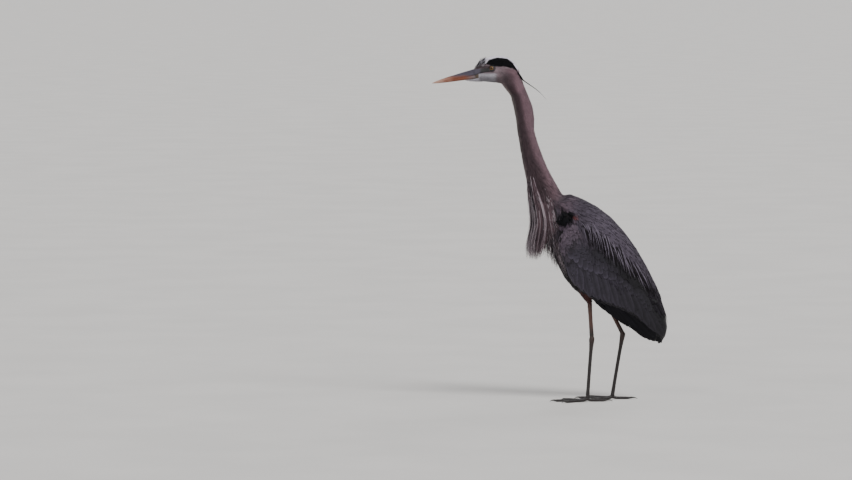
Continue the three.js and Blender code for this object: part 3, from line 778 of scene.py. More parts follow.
def lay(side, roots, tips, kind, sink, rise, bow=0.0, under=(), deep=0.0):
    """Courses drawn straight in the side view, from root to tip, and dropped onto that side.

    Where a part named in under lies over them, they keep deep below its surface.
    """
    body = form()
    along = np.array(kind.along)
    roots, tips = np.array(roots, float) * MM, np.array(tips, float) * MM
    count, steps = len(roots), len(along)
    sink, rise, bow = (np.broadcast_to(v * MM, count) for v in (sink, rise, bow))
    line = roots[:, None] + (tips - roots)[:, None] * along[None, :, None]
    across = unit(np.stack([-(tips - roots)[:, 1], (tips - roots)[:, 0]], 1))
    line = line + across[:, None] * (bow[:, None] * np.sin(math.pi * along)[None])[..., None]
    centre, normal = np.empty((count, steps, 3)), np.empty((count, steps, 3))
    covered, over = np.zeros((count, steps), bool), np.isin(KINDS, under)
    gap = np.linalg.norm(tips - roots, axis=1) / steps
    for n in range(count):
        y, up, slope = side * 0.06, Vector((0, side, 0)), 0.0
        for k in range(steps):
            x, z = line[n, k]
            hit, facing, face, _ = body.tree.ray_cast(Vector((x, side * 0.3, z)), Vector((0, -side, 0)))
            met = hit is not None and (k == 0 or abs(hit.y - y) < 8 * MM + 0.3 * gap[n])
            if met and hit.y * side > 0:
                covered[n, k] = over[body.face_part[face]]
                slope = (hit.y - y) * 0.5 if k else 0.0
                y, up = hit.y, (0.5 * up + 0.5 * facing).normalized() if k else facing
            else:
                y += slope
            centre[n, k], normal[n, k] = (x, y, z), up
    ahead = unit(np.gradient(centre, axis=1))
    normal = flat_on(normal, ahead)
    lifted = raised(centre, normal, sink, rise, along)
    return np.where(covered[..., None], centre - normal * deep * MM, lifted), normal, ahead


def hang(line, outward):
    """Courses along given lines, whose flat side faces outward."""
    ahead = unit(np.gradient(line, axis=1))
    return line, flat_on(outward, ahead), ahead


class Coat:
    """Feathers of one piece, gathered as arrays and joined into one mesh of closed vanes."""

    PATCH = 0.003  # size of a feather's place on the OFBake map

    def __init__(self, rng):
        self.rng, self.total = rng, 0
        self.points, self.tints, self.vanes, self.bakes, self.faces = [], [], [], [], []

    def scatter(self, chosen, spacing):
        """Chooses roots on those faces, spacing millimetres apart, and gives their x, y and z."""
        self.roots, self.part = scatter(chosen, spacing * MM, self.rng)
        return (self.roots / MM).T

    def some(self, least, more):
        """A number for each root: least, and by chance up to more over it."""
        return least + more * self.rng.random(len(self.roots))

    def comb(self, kind, span, sink, rise, yaw, half, vary, tint=None, at=2, dim=1, **look):
        """Feathers from the chosen roots along the lie.

        Without a tint they take the plumage's colour at the section numbered at, or at the root.
        """
        turn = yaw * self.rng.standard_normal(len(self.roots))
        course = comb(self.roots, kind, span, sink, rise, turn)
        if tint is None:
            tint = plumage(self.roots if at is None else course[0][:, at], self.part) * dim
        self.add(course, kind, half, tint, vary, **look)

    def add(self, course, kind, half, tint, vary, thick=0.5, camber=0.14, roll=0.0, shaft=0.9,
            edge=1.04, tip=1.08, root=0.8, home=None):
        """Adds vanes along a course.

        half is each one's half width, and vary how far its tint varies by chance. thick, camber and
        roll shape the section, and shaft, edge, tip and root say how light the vane is there.
        """
        centre, normal, ahead = course
        count, steps = centre.shape[:2]
        tint = tint * (1 + vary * self.rng.standard_normal(count).clip(-2, 2))[:, None]
        along, width = np.array(kind.along), np.array(kind.width)
        wide = np.broadcast_to(half * MM, count)[:, None] * width[None]
        deep = (thick * MM * (0.35 + 0.65 * width))[None, :, None]
        drop, lean = (camber * wide)[..., None] * normal, (roll * wide)[..., None] * normal
        out = np.cross(normal, ahead) * wide[..., None]
        ring = np.stack([centre + out - drop + lean, centre + 0.5 * deep * normal,
                         centre - out - drop - lean, centre - 0.5 * deep * normal], 2)
        length_shade = (root + (1 - root) * ease(along, 0, 0.45)) * (1 + (tip - 1) * ease(along, 0.75, 1))
        shade = length_shade[:, None] * np.array([edge, shaft, edge, 0.85])[None]
        tints = tint[:, None, None] * shade[None, ..., None]
        steps_run = np.cumsum(np.linalg.norm(np.diff(centre, axis=1), axis=2), axis=1)
        shift = self.rng.random(count)[:, None, None] * 7
        run = np.c_[np.zeros((count, 1)), steps_run][..., None] + shift
        across = np.stack([wide, 0 * wide, -wide, 0 * wide], 2)
        vane = np.stack([across, np.broadcast_to(run, across.shape)], -1)
        home = unwrap(centre[:, 0]) if home is None else home
        place = np.stack([across / np.maximum(wide.max(1), 1e-9)[:, None, None],
                          np.broadcast_to(2 * along[None, :, None] - 1, across.shape)], -1)
        bake = home[:, None, None] + place * (self.PATCH / 2)
        k, i = np.meshgrid(np.arange(steps - 1) * 4, np.arange(4), indexing="ij")
        quads = np.stack([k + i, k + (i + 1) % 4, k + 4 + (i + 1) % 4, k + 4 + i], -1).reshape(-1, 4)
        last = 4 * (steps - 1)
        quads = np.r_[quads, [[3, 2, 1, 0], [last, last + 1, last + 2, last + 3]]]
        starts = self.total + np.arange(count) * 4 * steps
        self.faces.append((starts[:, None, None] + quads[None]).reshape(-1, 4))
        self.total += 4 * steps * count
        stores = (self.points, ring), (self.tints, tints), (self.vanes, vane), (self.bakes, bake)
        for store, values in stores:
            store.append(values.reshape(-1, values.shape[-1]))

    def finish(self, name, slot, material, *nodes):
        """Makes the piece."""
        points, quads = np.concatenate(self.points), np.concatenate(self.faces)
        mesh = bpy.data.meshes.new(name)
        mesh.vertices.add(len(points))
        mesh.vertices.foreach_set("co", points.astype(np.float32).ravel())
        mesh.loops.add(quads.size)
        mesh.loops.foreach_set("vertex_index", quads.astype(np.int32).ravel())
        mesh.polygons.add(len(quads))
        mesh.polygons.foreach_set("loop_start", np.arange(0, quads.size, 4, dtype=np.int32))
        mesh.update(calc_edges=True)
        smooth_faces(mesh)
        ends = np.sort(read(mesh.edges, "vertices", 2, np.int32), axis=1)
        rim = (ends[:, 1] - ends[:, 0] == 4) & (ends[:, 0] % 2 == 0)
        mesh.attributes.new("sharp_edge", "BOOLEAN", "EDGE").data.foreach_set("value", rim)
        for key, values in (("OFBake", self.bakes), ("Vane", self.vanes)):
            places = np.concatenate(values)[quads.ravel()].astype(np.float32)
            mesh.uv_layers.new(name=key).uv.foreach_set("vector", places.ravel())
        paint(mesh, np.concatenate(self.tints))
        finished(linked(name, mesh), slot, material, *nodes)


def paint(mesh, tints):
    """Stores the plumage colours on a mesh's vertices."""
    rgba = np.c_[np.clip(tints, 0, 1), np.ones(len(tints))].astype(np.float32)
    mesh.color_attributes.new("plumage", "FLOAT_COLOR", "POINT").data.foreach_set("color", rgba.ravel())


def finished(obj, slot, material, *nodes):
    """Gives a piece its material and body, and hides the solids that it stands for. The slot is not used.
    """
    for one in material if isinstance(material, list) else [material]:
        obj.data.materials.append(one)
    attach(obj, "root")
    if nodes:
        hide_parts(*nodes)


# ---- Materials --------------------------------------------------------------------------------


class Value:
    """A shader socket whose sums and products add Math nodes."""

    def __init__(self, shader, socket):
        self.shader, self.socket = shader, socket

    def __add__(self, other):
        return self.shader.maths("ADD", self, other)

    def __sub__(self, other):
        return self.shader.maths("SUBTRACT", self, other)

    def __rsub__(self, other):
        return self.shader.maths("SUBTRACT", other, self)

    def __mul__(self, other):
        return self.shader.maths("MULTIPLY", self, other)

    def __truediv__(self, other):
        return self.shader.maths("DIVIDE", self, other)

    __radd__, __rmul__ = __add__, __mul__


def socket_name(key):
    return key.replace("_", " ").title().replace("Ior", "IOR")


class Shader:
    """A node material built through expressions."""

    def __init__(self, name, **constants):
        self.material = bpy.data.materials.new(name)
        self.material.use_nodes = True
        self.tree = self.material.node_tree
        self.sockets = self.tree.nodes["Principled BSDF"].inputs
        for key, value in constants.items():
            self.sockets[socket_name(key)].default_value = value

    def node(self, kind, settings=None, output=0, **sockets):
        """Adds a node, its settings first and then its sockets by number or name."""
        made = self.tree.nodes.new(kind)
        for key, value in (settings or {}).items():
            setattr(made, key, value)
        for key, value in sockets.items():
            self.feed(made.inputs[int(key[1:]) if key[1:].isdigit() else key], value)
        return Value(self, made.outputs[output])

    def feed(self, socket, value):
        if isinstance(value, Value):
            self.tree.links.new(value.socket, socket)
        elif socket.type == "RGBA":
            socket.default_value = (*value, 1)
        else:
            socket.default_value = value

    def maths(self, operation, a, b=0.0):
        return self.node("ShaderNodeMath", {"operation": operation}, _0=a, _1=b)

    def ramp(self, value, low, high):
        """0 at low and 1 at high, smooth between."""
        settings = {"interpolation_type": "SMOOTHSTEP"}
        return self.node("ShaderNodeMapRange", settings, _0=value, _1=low, _2=high)

    def blend(self, share, a, b, mode="MIX"):
        settings = {"data_type": "RGBA", "blend_type": mode}
        return self.node("ShaderNodeMix", settings, output=2, _0=share, _6=a, _7=b)

    def darker(self, share, colour, shade):
        """The colour multiplied by the shade, as far as share says."""
        return self.blend(share, colour, shade, "MULTIPLY")

    def plumage(self):
        return self.node("ShaderNodeAttribute", {"attribute_name": "plumage"}, output="Color")

    def place(self):
        return self.node("ShaderNodeTexCoord", output="Object")

    def split(self, vector):
        made = self.tree.nodes.new("ShaderNodeSeparateXYZ")
        self.feed(made.inputs[0], vector)
        return [Value(self, socket) for socket in made.outputs]

    def join(self, x, y, z):
        return self.node("ShaderNodeCombineXYZ", _0=x, _1=y, _2=z)

    def noise(self, vector, scale, detail):
        return self.node("ShaderNodeTexNoise", Vector=vector, Scale=scale, Detail=detail)

    def bump(self, height, strength, distance):
        normal = self.node("ShaderNodeBump", Height=height, Strength=strength, Distance=distance)
        self.feed(self.sockets["Normal"], normal)

    def surface(self, **sockets):
        for key, value in sockets.items():
            self.feed(self.sockets[socket_name(key)], value)
        return self.material


def feather_material(name, roughness, sheen, gloss=0.25, wear=1.0):
    """Feather vanes: stored colours, fine slanting barbs and a shaft."""
    s = Shader(name, roughness=roughness, sheen_weight=sheen, sheen_roughness=0.5, specular_ior_level=gloss)
    tint = s.plumage()
    across, along, _ = s.split(s.node("ShaderNodeUVMap", {"uv_map": "Vane"}))
    off = s.maths("ABSOLUTE", across)
    barb = s.noise(s.join((along + off * 0.9) * 1100.0, across * 160, 0.0), 1.0, 1.5)
    worn = s.noise(s.place(), 55.0, 3.0)
    shaft = 1 - s.ramp(off, 0.0001, 0.0006)
    thin = (1 - s.ramp(barb, 0.3, 0.7)) * 0.5 + (1 - s.ramp(worn, 0.35, 0.65)) * 0.28
    s.bump(barb * 0.8 + shaft * 0.6, 0.35, 0.0004)
    tint = s.darker(thin * wear + shaft * 0.2, tint, (0.45, 0.44, 0.47))
    return s.surface(base_color=tint, roughness=roughness + barb * 0.12)


def skin_material():
    """Skin under the feathers, in the plumage's own colours."""
    s = Shader("down_skin", roughness=0.8, sheen_weight=0.1)
    tint = s.plumage()
    fluff = s.noise(s.place(), 420.0, 3.0)
    s.bump(fluff, 0.4, 0.0008)
    return s.surface(base_color=s.darker(1 - s.ramp(fluff, 0.3, 0.75), tint, (0.5, 0.48, 0.5)))


def face_material():
    """Bare, finely wrinkled skin between bill and eye, and the horn at the bill's base."""
    s = Shader("bare_face", roughness=0.42, coat_weight=0.1, coat_roughness=0.3)
    tint = s.plumage()
    x, y, z = s.split(s.place())
    wrinkle = s.noise(s.join(x * 260, y * 500, z * 700), 1.0, 3.0)
    s.bump(wrinkle, 0.35, 0.0004)
    return s.surface(base_color=s.darker((1 - s.ramp(wrinkle, 0.3, 0.7)) * 0.4, tint, (0.5, 0.47, 0.48)))


def leg_material():
    """Scaly bare skin of the legs and toes."""
    s = Shader("scaly_skin", roughness=0.5)
    tint, place = s.plumage(), s.place()
    x, y, z = s.split(place)
    cells = s.join(x * 430, y * 430, z * 350)
    edge = s.node("ShaderNodeTexVoronoi", {"feature": "DISTANCE_TO_EDGE"}, Vector=cells, Scale=1.0)
    patch = s.noise(place, 60.0, 3.0)
    seam = 1 - s.ramp(edge, 0.0, 0.13)
    s.bump(1 - seam, 0.5, 0.0005)
    tint = s.darker(s.ramp(patch, 0.35, 0.65) * 0.5, tint, (0.6, 0.5, 0.45))
    tint = s.darker(seam * 0.55, tint, (0.3, 0.26, 0.24))
    return s.surface(base_color=tint, roughness=0.42 + seam * 0.3)


def bill_material(name, lower):
    """Horn of the bill: dark grey-blue at its base and ridge, orange-brown towards its tip."""
    c, s = tones(), Shader(name, roughness=0.36, coat_weight=0.15, coat_roughness=0.3)
    x, y, z = s.split(s.place())
    off, up = (x - BILL_TIP[0] * MM, z - BILL_TIP[1] * MM)
    along = off * math.cos(BILL_DIP) + up * math.sin(BILL_DIP)
    above = up * math.cos(BILL_DIP) - off * math.sin(BILL_DIP)
    grain = s.noise(s.join(along * 40, y * 420, above * 420), 1.0, 3.0)
    blotch = s.noise(s.place(), 45.0, 2.0) - 0.5
    tint = s.blend(s.ramp(along + blotch * 0.05, 0.004, 0.07), (0.42, 0.25, 0.19), c.bill)
    if lower:
        tint = s.blend(s.ramp(along + blotch * 0.03, 0.095, 0.135), tint, (0.15, 0.11, 0.11))
    else:
        tint = s.blend(s.ramp(along * 0.62 + above * 4.2 + blotch * 0.03, 0.054, 0.1), tint, c.culmen)
    tint = s.darker((1 - s.ramp(grain, 0.3, 0.7)) * 0.35, tint, (0.5, 0.42, 0.38))
    s.bump(grain, 0.25, 0.0004)
    return s.surface(base_color=tint, roughness=0.3 + grain * 0.15)


def eye_material():
    """Yellow iris and black pupil under a clear cornea, alike on both sides."""
    s = Shader("eye_glass", roughness=0.3, coat_weight=0.45, coat_roughness=0.03, specular_ior_level=0.2)
    x, y, z = s.split(s.place())
    off = [x - EYE[0] * MM, s.maths("ABSOLUTE", y) - EYE[1] * MM, z - EYE[2] * MM]
    cosine = (off[0] * GAZE.x + off[1] * GAZE.y + off[2] * GAZE.z) / (EYE_RADIUS * MM)
    rays = s.noise(s.join(x * 900, y * 200, z * 900), 1.0, 3.0)
    iris = s.blend(s.ramp(rays, 0.35, 0.7) * 0.5, tones().iris, (0.5, 0.2, 0.02))
    ring = s.blend(s.ramp(cosine, 0.70, 0.78), (0.02, 0.012, 0.01), iris)
    return s.surface(base_color=s.blend(s.ramp(cosine, 0.885, 0.9), ring, (0.0015, 0.0015, 0.002)))


def plain_horn(name, tint, roughness):
    """Dark horn or lid skin, with a fine grain."""
    s = Shader(name, roughness=roughness)
    grain = s.noise(s.place(), 700.0, 3.0)
    s.bump(grain, 0.3, 0.0003)
    return s.surface(base_color=s.blend(s.ramp(grain, 0.3, 0.7) * 0.6, tint, 0.5 * tint))


def floor_material():
    """Pale, faintly mottled studio floor."""
    s, tint = Shader("studio_floor", roughness=0.85), tones().floor
    mottle = s.noise(s.place(), 2.5, 4.0)
    return s.surface(base_color=s.blend(s.ramp(mottle, 0.3, 0.7), tint, 0.94 * tint))


# ---- Pieces -----------------------------------------------------------------------------------


def mesh_piece(name, bm):
    """An object from a bmesh, smooth, its faces pointing outwards."""
    bmesh.ops.remove_doubles(bm, verts=bm.verts, dist=1e-6)
    bmesh.ops.recalc_face_normals(bm, faces=bm.faces)
    mesh = bpy.data.meshes.new(name)
    bm.to_mesh(mesh)
    bm.free()
    smooth_faces(mesh)
    return linked(name, mesh)


class HERON_OT_skin(bpy.types.Operator):
    """One skin for head, neck, body, wings and legs, set inside the plumage by the coat's depth"""

    bl_idname = "heron.skin"
    bl_label = "Skin"

    def execute(self, context):
        body = form()
        kinds = KINDS[body.part]
        x, _, z = (body.points / MM).T
        depth = np.array([DEPTHS[k] for k in KINDS])[body.part] * MM
        depth = np.where((kinds == "head") & (from_eye(x, z) < 13), 1.2 * MM, depth)
        # The rims of wings and tail are thinned, so that none shows past the feathers, and no
        # part is thinned to less than a sixth of its thickness.
        thin = np.isin(kinds, ["wing", "primaries", "tail", "cape"]) & (z < 430)
        rim = np.where(thin, (1 - np.abs(body.normals[:, 1])) * 3.0 * MM, 0)
        depth = np.minimum(relax(depth + rim, body.edges, 0.8, 12)[:, 0], 0.42 * body.thickness())
        mesh = body.mesh.copy()
        mesh.name = "skin"
        inner = body.points - body.normals * depth[:, None]
        mesh.vertices.foreach_set("co", inner.astype(np.float32).ravel())
        smooth_faces(mesh)
        obj = linked("skin", mesh)
        paint(mesh, plumage(body.points, body.part))
        # Scaly skin on the legs, and bare skin and horn at the front of the face.
        mx, _, mz = (body.middle / MM).T
        kinds = KINDS[body.face_part]
        naked = (kinds == "head") & (np.maximum(bare_face(mx, mz), bill_base(mx, mz)) > 0.5)
        look = np.where(naked, 2, np.isin(kinds, BARE))
        mesh.polygons.foreach_set("material_index", look.astype(np.int32))
        # Fewer faces are enough where feathers hide the skin.
        coated = ~np.isin(KINDS, ["head", *BARE])[body.part]
        group = obj.vertex_groups.new(name="thinned")
        group.add(np.flatnonzero(coated).tolist(), 1.0, "REPLACE")
        spare = obj.modifiers.new("thin", "DECIMATE")
        spare.ratio, spare.vertex_group = SKIN_TRIANGLES / (2 * len(mesh.polygons)), group.name
        thinned = evaluated(obj)
        obj.modifiers.clear()
        obj.vertex_groups.clear()
        obj.data = thinned
        names = [n for n in SOFT if kind_of(n) not in ("primaries", "tail")]
        finished(obj, "body_feather", [skin_material(), leg_material(), face_material()], *names)
        return {"FINISHED"}


class HERON_OT_head_feathers(bpy.types.Operator):
    """Small feathers of the head, with a raised tuft on the forehead"""

    bl_idname = "heron.head_feathers"
    bl_label = "Head feathers"

    def execute(self, context):
        c, body, coat = tones(), form(), Coat(np.random.default_rng(11))
        x, y, z = (body.middle / MM).T
        tuft = body.is_part("head") & (x < -202) & (z > 1018 + 0.25 * np.abs(y))
        bare = (from_eye(x, z) <= 8.4) | (bare_face(x, z) >= 0.5) | (bill_base(x, z) >= 0.5)
        chosen = body.is_part("head") & ~bare & ((x > -230) | (z < 1000))
        x, y, z = coat.scatter(chosen, np.interp(x, [-235, -190, -150, -100], [1.5, 1.5, 1.8, 2.2]))
        span = np.interp(x, [-265, -235, -215, -195, -160, -110], [3, 3.8, 5, 5.5, 8, 13])
        span = span * coat.some(0.85, 0.3)
        band = (z > np.interp(x, *BLACK_LOW) - 1) & (x > -192)
        eye = from_eye(x, z)
        span = np.where(band, span * 1.5, span) * np.where(eye < 12, 0.55, 1)
        before = (x < EYE[0]) & (np.abs(z - EYE[2]) < 10) & (eye < 20)
        span = np.where(before, np.minimum(span, np.maximum(eye - 7, 1.5)), span)
        sink = np.where(eye < 12, 1.0, 1.9)
        rise = np.where(band, 0.9, np.interp(x, [-240, -215], [0.0, 0.3])) * coat.some(0.6, 0.8)
        half = np.clip(0.15 * span, 0.6, 1.5)
        coat.comb(DOWN, span, sink, rise, 0.16, half, 0.06, at=1, thick=0.3, root=0.85)

        # The forehead's feathers stand up in pale and dark points.
        x, y, z = coat.scatter(tuft, 2.0)
        dark = coat.some(0, 1) < np.interp(x, [-222, -212, -203], [0.7, 0.45, 0.62]) - 0.25 * (z > 1040)
        tint = np.where(dark[:, None], c.cap * 3, c.crown * 0.42)
        lift = np.interp(x, [-228, -216, -204], [3, 8.5, 5]) * coat.some(0.45, 0.75)
        reach = np.interp(x, [-216, -203], [1, 0.7]) * coat.some(9, 6)
        reach = np.where(z < 1030, np.minimum(reach, from_eye(x, z) - 9), reach)
        coat.comb(SPIKE, reach, 1.5, lift, 0.3, 0.8, 0.15, tint, thick=0.4)
        look = feather_material("head_feather", 0.8, 0.05, gloss=0.12, wear=0.6)
        coat.finish("head_feathers", "head_feather", look)
        return {"FINISHED"}


class HERON_OT_neck_feathers(bpy.types.Operator):
    """Fine feathers down the neck, long and streaked at its base"""

    bl_idname = "heron.neck_feathers"
    bl_label = "Neck feathers"

    def execute(self, context):
        body, coat = form(), Coat(np.random.default_rng(12))
        heights = [560, 720, 850, 960]
        chosen = body.is_part("neck_upper", "neck_middle", "neck_lower")
        x, _, z = coat.scatter(chosen, np.interp(body.middle[:, 2] / MM, heights, [4.4, 3.6, 2.9, 2.4]))
        span = np.interp(z, heights, [40, 27, 18, 13]) * coat.some(0.8, 0.4)
        span = span * np.interp(shoulder_oval(x, z), [1, 5], [0.45, 1])
        sink = np.interp(z, [600, 720, 850, 960], [5.0, 3.2, 2.8, 2.2])
        half = np.interp(z, heights, [2.4, 1.9, 1.5, 1.2])
        look = dict(thick=0.4, edge=1.03, tip=1.06, root=0.88)
        coat.comb(MANTLE, span, sink, coat.some(0.1, 0.5), 0.12, half, 0.08, **look)
        coat.finish("neck_feathers", "neck_feather", feather_material("neck_feather", 0.8, 0.1))
        return {"FINISHED"}


class HERON_OT_back_feathers(bpy.types.Operator):
    """Mantle feathers, shoulder patches and the long scapular plumes"""

    bl_idname = "heron.back_feathers"
    bl_label = "Back feathers"

    def execute(self, context):
        for name, side in SIDES.items():
            rng = np.random.default_rng(130 + side)
            self.mantle(name, side, Coat(rng))
            self.scapulars(name, side, Coat(rng), context.scene.heron_sizes.scapulars)
        return {"FINISHED"}

    def mantle(self, name, side, coat):
        body = form()
        x, y, z = (body.middle / MM).T
        cape = body.is_part("cape", side=name) & (body.facing[:, 1] * np.sign(y) > -0.2)
        cape |= body.is_part("neck_lower") & (y * side > 0) & (x + 0.7 * (600 - z) > 0) & (z < 660)
        x, y, z = coat.scatter(cape, np.interp(x, [20, 120, 300], [3.8, 4.6, 5.4]))
        span = np.interp(x, [0, 60, 140, 300], [34, 46, 66, 80]) * coat.some(0.8, 0.4)
        span = span * np.interp(shoulder_oval(x, z), [1, 5], [0.4, 1])
        half = np.interp(x, [0, 100, 300], [2.9, 3.6, 4.2])
        look = dict(edge=1.08, tip=1.04, root=0.9)
        coat.comb(MANTLE, span, 5.6, coat.some(0.1, 0.6), 0.09, half, 0.08, **look)
        look = feather_material("mantle_feather", 0.75, 0.02, gloss=0.15)
        coat.finish(f"mantle_feathers_{name}", "slate_feather", look)

    def scapulars(self, name, side, coat, number):
        """The shoulder patch, and narrow plumes from it to the rear, every third one pale."""
        coat.scatter(form().is_part("shoulder_patch", side=name), 3.6)
        coat.comb(CONTOUR, coat.some(18, 12), 4.0, coat.some(0.8, 1.6), 0.25, 2.2, 0.15)
        c, rng = tones(), coat.rng
        share = (np.arange(number) + rng.random(number)) / number
        tips = on_line(SCAPULAR_TIPS, share) + rng.normal(0, 5, (number, 2))
        starts = on_line(SCAPULAR_ROOTS, share) + rng.normal(0, 5, (number, 2))
        back = (starts - tips) * (rng.random(number) ** 2 * 0.4)[:, None]
        pale = np.arange(number) % 3 == 0
        rise = np.where(pale, 3.2, 2.4) * (0.75 + 0.5 * rng.random(number))
        bow = 4 + rng.normal(0, 2.0, number)
        course = lay(side, starts + back * 0.5, tips + back, LANCE, 4.5, rise, bow)
        tint = np.where(pale[:, None], c.plume_pale * (0.42, 0.43, 0.5), c.plume_dark * 0.2)
        half = np.where(pale, 1.1, 2.6) * (0.8 + 0.4 * rng.random(number))
        coat.add(course, LANCE, half, tint, 0.16, 0.6, tip=1.0, root=0.75)
        look = feather_material("scapular_plume", 0.75, 0.02, gloss=0.15)
        coat.finish(f"scapular_plumes_{name}", "slate_feather", look)


class HERON_OT_wing_feathers(bpy.types.Operator):
    """Coverts and secondaries of both folded wings, with the lining inside them"""

    bl_idname = "heron.wing_feathers"
    bl_label = "Wing feathers"

    def execute(self, context):
        for name, side in SIDES.items():
            coat = Coat(np.random.default_rng(14 + side))
            self.wing(name, side, coat, context.scene.heron_sizes.secondaries)
        return {"FINISHED"}

    def wing(self, name, side, coat, secondaries):
        body = form()
        x, y, z = (body.middle / MM).T
        wing, over = body.is_part("wing", side=name), over_axis(body.middle)
        outer = (body.facing[:, 1] * side > -0.1) & ((y * side > 30) | (over < 40))
        # A close undercoat, so that no skin shows between the large feathers.
        coat.scatter(wing & outer, 8)
        coat.comb(CONTOUR, coat.some(30, 8), 3.4, -0.7, 0.1, 6.5, 0.08, dim=0.8, thick=0.4)
        # Secondaries, each one's front edge over the one before.
        share = (np.arange(secondaries) + 0.5) / secondaries
        reach = np.interp(share, [0, 0.5, 1], [110, 140, 165])[:, None]
        tips = on_line(SECONDARY_TIPS, share) + coat.rng.normal(0, 1.5, (secondaries, 2))
        rise = 0.2 + 0.7 * (np.arange(secondaries) % 2)
        look = dict(thick=0.6, camber=0.05, edge=1.7, shaft=0.8, tip=1.2, root=0.85)
        self.row(coat, name, side, FLIGHT, share, tips, reach, 3.2 - 0.6 * share, rise, 12.5, 0.06, look)
        # Greater and median coverts in rows of rounded tips.
        for lift, line_shift, number, reach, half, sink, pale in COVERT_ROWS:
            share = (np.arange(number) + 0.5) / number
            tips = on_line(COVERT_TIPS, share) + np.array(line_shift) + coat.rng.normal(0, 2.4, (number, 2))
            look = dict(camber=0.06, edge=1.12, shaft=0.86, tip=pale)
            self.row(coat, name, side, COVERT, share, tips, reach, sink, lift, half, 0.07, look)
        # Small coverts over the bend of the wing.
        coat.scatter(wing & outer & (z > np.interp(x, *np.array(COVERT_TIPS, float).T) + 52), 5.0)
        look = dict(at=3, edge=1.06, tip=1.1)
        coat.comb(CONTOUR, coat.some(20, 9), 3.6, coat.some(1.0, 1.0), 0.14, 3.6, 0.08, **look)
        # Front edge of the wing and the lining of its inner face.
        coat.scatter(wing & (~outer | (x < 75)) & (z < 520) & (over < 30), 8)
        coat.comb(CONTOUR, coat.some(28, 10), 3.4, 0.4, 0.1, 5.0, 0.1, at=None, dim=0.9)
        look = feather_material("wing_feather", 0.6, 0.06)
        coat.finish(f"wing_feathers_{name}", "wing_feather", look)

    def row(self, coat, name, side, kind, share, tips, reach, sink, rise, half, vary, look):
        """Large feathers with the given tips, upright in front and slanting behind."""
        slant = np.interp(share, [0, 0.35, 0.7, 1], [0.1, 0.24, 0.4, 0.58])
        way = unit(np.stack([slant, 0 * share - 0.92], 1))
        course = lay(side, tips - way * reach, tips, kind, sink, rise)
        tint = plumage(course[0][:, 3], np.full(len(tips), SOFT.index(f"wing_{name}")))
        coat.add(course, kind, half, tint, vary, roll=-side * 0.05, **look)


class HERON_OT_flight_feathers(bpy.types.Operator):
    """Blue-black primaries under each folded wing, and the tail"""

    bl_idname = "heron.flight_feathers"
    bl_label = "Flight feathers"

    def execute(self, context):
        c, body, number = tones(), form(), context.scene.heron_sizes.primaries
        for name, side in SIDES.items():
            coat = Coat(np.random.default_rng(24 + side))
            share = (np.arange(number) + 0.6) / number
            tips = on_line(PRIMARY_TIPS, share) + coat.rng.normal(0, 1.0, (number, 2))
            way = unit(np.stack([0.62 + 0.14 * share, -0.8 + 0.1 * share], 1))
            roots = tips - way * np.interp(share, [0, 1], [110, 190])[:, None]
            course = lay(side, roots, tips, FLIGHT, 1.6, 0.5 - 0.5 * share, 0, ("wing", "cape"), 6.5)
            look = dict(camber=0.05, roll=-side * 0.04, edge=1.5, shaft=0.8, tip=1.05, root=0.9)
            coat.add(course, FLIGHT, 10.5, c.flight, 0.12, 0.7, **look)
            outer = body.facing[:, 1] * side > -0.1
            z = coat.scatter(body.is_part("primaries", side=name) & outer, 8)[2]
            span = np.interp(z, [185, 230], [12, 28]) * coat.some(0.85, 0.3)
            coat.comb(CONTOUR, span, 1.6, 0.1, 0.1, np.minimum(4.5, 0.2 * span), 0.15, at=None)
            look = feather_material("primary_feather", 0.55, 0.0, gloss=0.15)
            coat.finish(f"primary_feathers_{name}", "black_feather", look, f"primaries_{name}")
        self.tail(Coat(np.random.default_rng(31)))
        return {"FINISHED"}

    def tail(self, coat):
        """Two layers of feathers, fanned across the body's axis."""
        fan = np.linspace(-1, 1, 12)[:, None]
        off, across = np.abs(fan), fan * (0, 1, 0)
        for row, dim in enumerate((1.0, 0.8)):
            root = BODY_START + BODY_WAY * 352 + BODY_UP * (-16 - 9 * row) + across * 11
            tip = BODY_START + BODY_WAY * (506 - 7 * off) + BODY_UP * (-9 - 3 * row) + across * 23
            line = root[:, None] + (tip - root)[:, None] * np.array(FLIGHT.along)[None, :, None]
            line[..., 2] -= 1.4 * off
            course = hang(line * MM, np.broadcast_to(BODY_UP, line.shape))
            coat.add(course, FLIGHT, 10, tones().wing * dim, 0.06, 0.6, camber=0.06)
        look = feather_material("tail_feather", 0.55, 0.06)
        coat.finish("tail_feathers", "slate_feather", look, "tail")


class HERON_OT_belly_feathers(bpy.types.Operator):
    """Feathers of the flanks, belly and under the tail, and of the thighs"""

    bl_idname = "heron.belly_feathers"
    bl_label = "Belly and thigh feathers"

    def execute(self, context):
        body, rng = form(), np.random.default_rng(41)
        coat, x = Coat(rng), body.middle[:, 0]
        open_air = (x < 0.21) | (body.facing[:, 2] < -0.2)
        open_air &= (over_axis(body.middle) < 12) | (x < 0.06)
        coat.scatter(body.is_part("trunk", "tail") & open_air, 5.4)
        coat.comb(CONTOUR, coat.some(28, 12), 4.6, coat.some(0.2, 0.8), 0.14, 4.4, 0.14)
        look = feather_material("belly_feather", 0.75, 0.05, gloss=0.2)
        coat.finish("belly_feathers", "body_feather", look)
        for name in SIDES:
            coat, leg = Coat(rng), LEGS[name]
            coat.scatter(body.is_part("thigh", side=name), 2.2)
            home = unwrap(coat.roots, [leg["thigh"], leg["knee"], leg["ankle"]])
            look = dict(at=None, thick=0.4, home=home)
            coat.comb(DOWN, coat.some(11, 5), 2.8, coat.some(0.1, 0.6), 0.16, 1.5, 0.12, **look)
            look = feather_material("thigh_feather", 0.8, 0.1)
            coat.finish(f"thigh_feathers_{name}", "thigh_feather", look)
        return {"FINISHED"}


